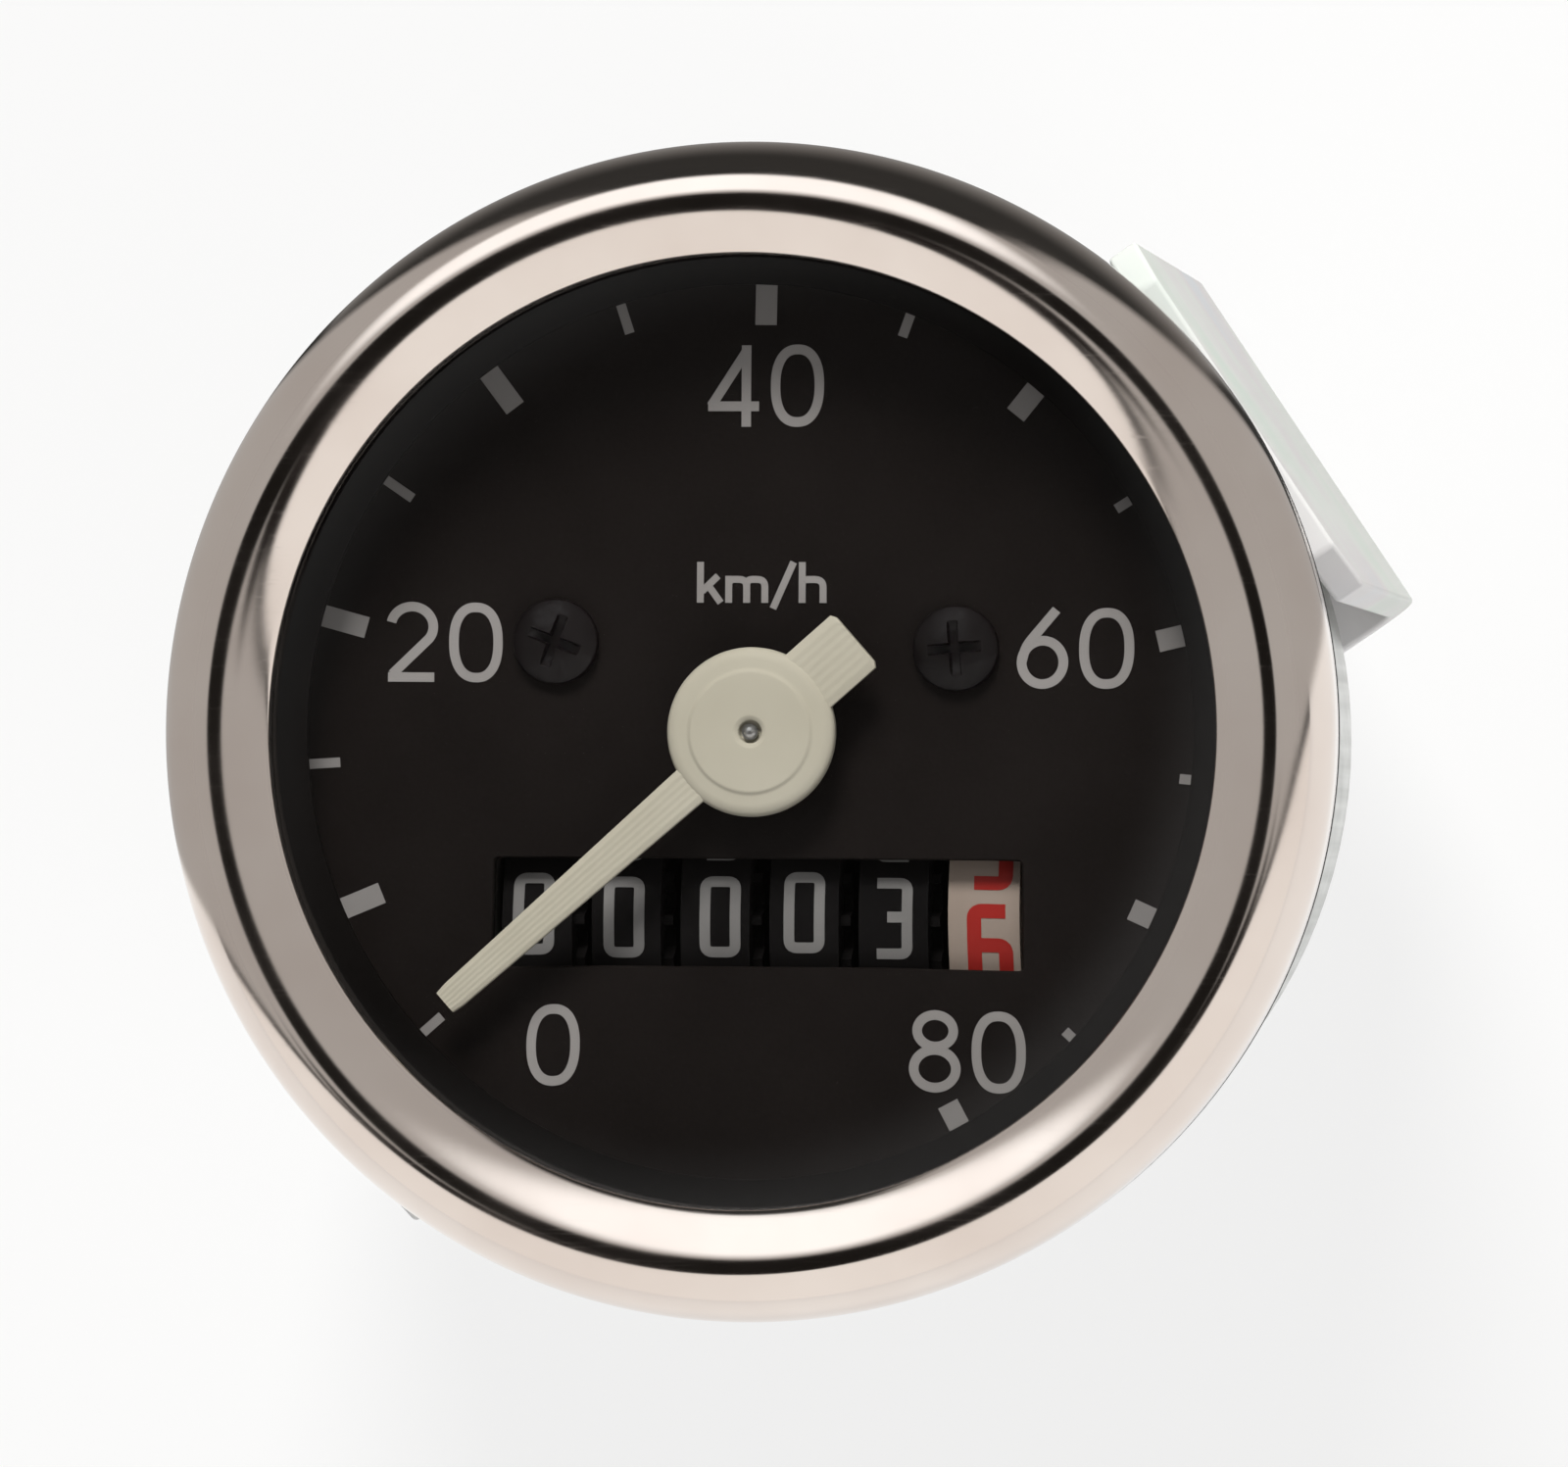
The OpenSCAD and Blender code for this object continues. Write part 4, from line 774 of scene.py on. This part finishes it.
pane = turned("glass_pane", np.vstack([[(0.0, GLASS_LOW)], pane_edge, [(0.0, GLASS_HIGH)]]))
pane.data.materials.append(glass)
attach(pane, "housing")
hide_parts("lens")


# Bezel. Spun from thin brass sheet and chrome-plated: a straight side, a rounded flank up to a sharp
# crest, a flat cone down to the glass, and a lip that is crimped under the case's flange. The chrome is
# old, slightly clouded and finely scratched.
def bend(start, corner, end):
    """A parabola from start to end whose two ends point at the corner; start itself is left out."""
    s = np.linspace(0, 1, 12)[1:, None]
    return (1 - s) ** 2 * start + 2 * s * (1 - s) * np.array(corner) + s ** 2 * np.array(end)


SIDE_TOP, CONE_END = 3.0, (21.12, 5.51)
turn = np.radians(np.linspace(0, 74, 28))
flank = np.column_stack([23.25 + 2.75 * np.cos(turn), SIDE_TOP + 3.4 * np.sin(turn)])
crest = bend(flank[-1], (23.34, 6.504), (22.42, 6.17))
cone = bend(crest[-1], (21.80, 5.944), CONE_END)
edge = softened([CONE_END, (20.95, 5.38), (20.95, 4.72), (21.6, 4.72)], 0.1, 5, closed=False)[1:]
inner = np.column_stack([23.4 + 2.05 * np.cos(turn[::-1]), SIDE_TOP + 2.85 * np.sin(turn[::-1])])
lip = softened([(25.45, SIDE_TOP), (25.45, 1.72), (24.6, 1.72), (24.6, 1.22), (26.0, 1.22), (26.0, SIDE_TOP)],
               (0.1, 0.1, 0.12, 0.12, 0.45, 0.1), 7, closed=False)[1:-1]
bezel = turned("bezel", np.vstack([flank, crest, cone, edge, inner, lip]), 384)
chrome, tree, shader = material_of("old_chrome")
shader.inputs["Metallic"].default_value = 1.0
cloud, grain, scratch = worn(tree, cloud_scale=150.0, scratch_scale=300.0, grain_scale=1500.0)
tree.links.new(ramp(tree, cloud, (0.0, (0.77, 0.68, 0.62)), (1.0, (0.83, 0.75, 0.69))),
               shader.inputs["Base Color"])
hazed = spread(tree, cloud, 0.0, 1.0, 0.15, 0.08)
scored = node_in(tree, "ShaderNodeMath", (0, scratch), (1, 0.04), (2, hazed), operation="MULTIPLY_ADD")
tree.links.new(scored.outputs[0], shader.inputs["Roughness"])
bump(tree, shader, grain, 0.003, 0.35)
bezel.data.materials.append(chrome)
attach(bezel, "housing")
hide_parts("bezel")

# Panel gasket. A soft moulded rubber ring round the case, under the bezel's lip. The strap pulls the lip
# down on it, so that it seals the hole in the panel.
gasket_line = softened([(23.7, 0.0), (25.85, 0.0), (26.0, 0.6), (25.85, 1.2), (23.7, 1.2)], 0.3, 6)
gasket = turned("panel_ring", gasket_line)
gasket.data.materials.append(rubber)
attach(gasket, "housing")
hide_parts("panel_gasket")

# Case. A cup drawn from sheet steel and zinc-plated, with a flange at its mouth that the bezel grips.
# Drawing left faint upright streaks on its wall, and the zinc has dulled in small patches.
case_zinc, tree, shader = material_of("zinc_plate")
shader.inputs["Metallic"].default_value = 1.0
cloud = worn(tree, cloud_scale=380.0)[0]
place = node_in(tree, "ShaderNodeTexCoord").outputs["Object"]
drawn = node_in(tree, "ShaderNodeMapping", ("Vector", place), ("Scale", (1.0, 1.0, 0.02)))
streak = node_in(tree, "ShaderNodeTexNoise", ("Vector", drawn.outputs[0]), ("Scale", 1500.0),
                 ("Detail", 2.0)).outputs[0]
dulled = node_in(tree, "ShaderNodeMath", (0, cloud), (1, 0.35), (2, streak), operation="MULTIPLY_ADD")
tree.links.new(ramp(tree, dulled.outputs[0], (0.35, (0.52, 0.53, 0.515)), (0.95, (0.66, 0.67, 0.65))),
               shader.inputs["Base Color"])
tree.links.new(spread(tree, dulled.outputs[0], 0.4, 0.9, 0.46, 0.30), shader.inputs["Roughness"])
bump(tree, shader, streak, 0.004, 0.4)
paint(case_zinc, "case")

# Cable nipple. Turned from brass, pressed through the case's floor from inside and riveted to the base
# plate. A fine thread for the cable's union nut runs from its mouth almost to the neck.
def wave(turn, height, pitch):
    """A right-hand thread: 0 on its crests and 1 in its grooves, a triangle of the height less the turn."""
    place = np.mod(height / pitch - turn / (2 * np.pi), 1.0)
    return np.clip(1.5 * np.abs(2 * place - 1) - 0.25, 0, 1)


def nipple_thread(turn, radius, height):
    """The nipple's cut: what stands out beyond the thread, which runs out below the neck."""
    groove = 0.52 * np.clip((-39.0 - height) / 0.8, 0, 1) * wave(turn, height, 1.0)
    return np.where(height < -38.4, np.maximum(radius - (6.0 - groove), 0), 0)


thread_line = np.column_stack([np.full(170, 6.0), np.linspace(-48.87, -38.42, 170)])
chamfer = np.column_stack([np.linspace(5.25, 5.97, 12), np.linspace(-49.62, -48.9, 12)])
nipple = turned("threaded_nipple", np.vstack([
    [(4.7, -43.46), (4.7, -49.5), (4.82, -49.66), (5.2, -49.66)], chamfer, thread_line,
    softened([(6.0, -38.38), (6.4, -38.38), (6.4, -33.87), (7.6, -33.87), (7.6, -33.07), (4.0, -33.07),
              (4.0, -43.46)], 0.08, 4, closed=False)[1:]]), 144, nipple_thread)
nipple.data.materials.append(brass)
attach(nipple, "housing")
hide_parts("cable_nipple")


# Strap. Bent from zinc-plated steel strip with deburred edges, whose passivation still shimmers pale
# green, blue and pink. It straddles the case, and two studs with nuts draw it forwards to the panel.
def eased(name, width):
    """Rounds the edges of a solid that stays in view, once its triangles are joined into flat faces."""
    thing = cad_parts[name]
    thing.data.shade_smooth()
    joined = thing.modifiers.new("joined", "WELD")
    joined.merge_threshold = 0.002 * mm
    flattened = thing.modifiers.new("flattened", "DECIMATE")
    flattened.decimate_type = "DISSOLVE"
    flattened.angle_limit = math.radians(0.5)
    rounded = thing.modifiers.new("rounded", "BEVEL")
    rounded.width = width * mm
    rounded.segments = 3
    rounded.limit_method = "ANGLE"
    rounded.angle_limit = math.radians(38)
    shaded = thing.modifiers.new("shaded", "WEIGHTED_NORMAL")
    shaded.keep_sharp = False


shimmer, tree, shader = material_of("passivated_zinc")
shader.inputs["Metallic"].default_value = 0.05
cloud, grain, _ = worn(tree, cloud_scale=55.0)
tree.links.new(ramp(tree, cloud, (0.0, (0.80, 0.88, 0.82)), (0.35, (0.88, 0.91, 0.88)),
                    (0.6, (0.87, 0.85, 0.86)), (1.0, (0.83, 0.86, 0.90))), shader.inputs["Base Color"])
tree.links.new(spread(tree, cloud, 0.0, 1.0, 0.58, 0.42), shader.inputs["Roughness"])
bump(tree, shader, grain, 0.006)
paint(shimmer, "bracket")
eased("bracket", 0.22)

# Studs, spring washers and nuts. Zinc-plated M4 studs are fixed in the base plate and come out through
# the case's floor and the strap; each carries a split spring washer and a chamfered hexagon nut.
STUD_AWAY, STRAP_TURN = 15.0, math.radians(34)
STUDS = [(side * STUD_AWAY * math.cos(STRAP_TURN), side * STUD_AWAY * math.sin(STRAP_TURN))
         for side in (-1, 1)]


def stud_thread(turn, radius, height):
    """A stud's cut: what stands out beyond a thread of 0.7 mm pitch that runs out under the strap."""
    groove = 0.36 * np.clip((-37.0 - height) / 0.7, 0, 1) * wave(turn, height, 0.7)
    return np.where(height < -36.9, np.maximum(radius - (2.0 - groove), 0), 0)


def hexagon(turn, radius, height):
    """A nut's cut: what stands out beyond a hexagon 7 mm across its flats, with a corner along the strap."""
    flat = np.mod(turn - STRAP_TURN, math.radians(60)) - math.radians(30)
    return np.maximum(radius - 3.5 / np.cos(flat), 0) * np.ones_like(height)


fixing = metal("bright_zinc", (0.56, 0.57, 0.56), (0.74, 0.75, 0.74), 0.22, 0.38, 220.0)
stud_line = np.column_stack([np.full(110, 2.0), np.linspace(-42.88, -36.95, 110)])
stud_tip = np.column_stack([np.linspace(1.6, 1.98, 8), np.linspace(-43.16, -42.9, 8)])
stud_profile = np.vstack([[(0.0, -43.16), (1.5, -43.16)], stud_tip, stud_line,
                          [(2.0, -33.87), (3.2, -33.87), (3.2, -32.67), (0.0, -32.67)]])
s = np.linspace(0, 1, 10)[:, None]
low_edge = (1 - s) * np.array([3.36, -41.56]) + s * np.array([4.04, -41.17])
high_edge = (1 - s) * np.array([4.04, -38.76]) + s * np.array([3.36, -38.37])
nut_profile = np.vstack([[(2.0, -38.7), (2.0, -41.25), (2.32, -41.56)], low_edge, high_edge,
                         [(2.32, -38.37)]])
studs = [turned(f"stud_{number}", stud_profile, 72, stud_thread, at) for number, at in enumerate(STUDS, 1)]
hexagons = [turned(f"nut_{number}", nut_profile, 180, hexagon, at) for number, at in enumerate(STUDS, 1)]
for piece in studs + hexagons:
    piece.data.materials.append(fixing)
    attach(piece, "housing")
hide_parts("mounting_studs")
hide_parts("nuts")
paint(metal("spring_steel", (0.24, 0.24, 0.23), (0.36, 0.36, 0.35), 0.3, 0.48), "spring_washers")
eased("spring_washers", 0.1)
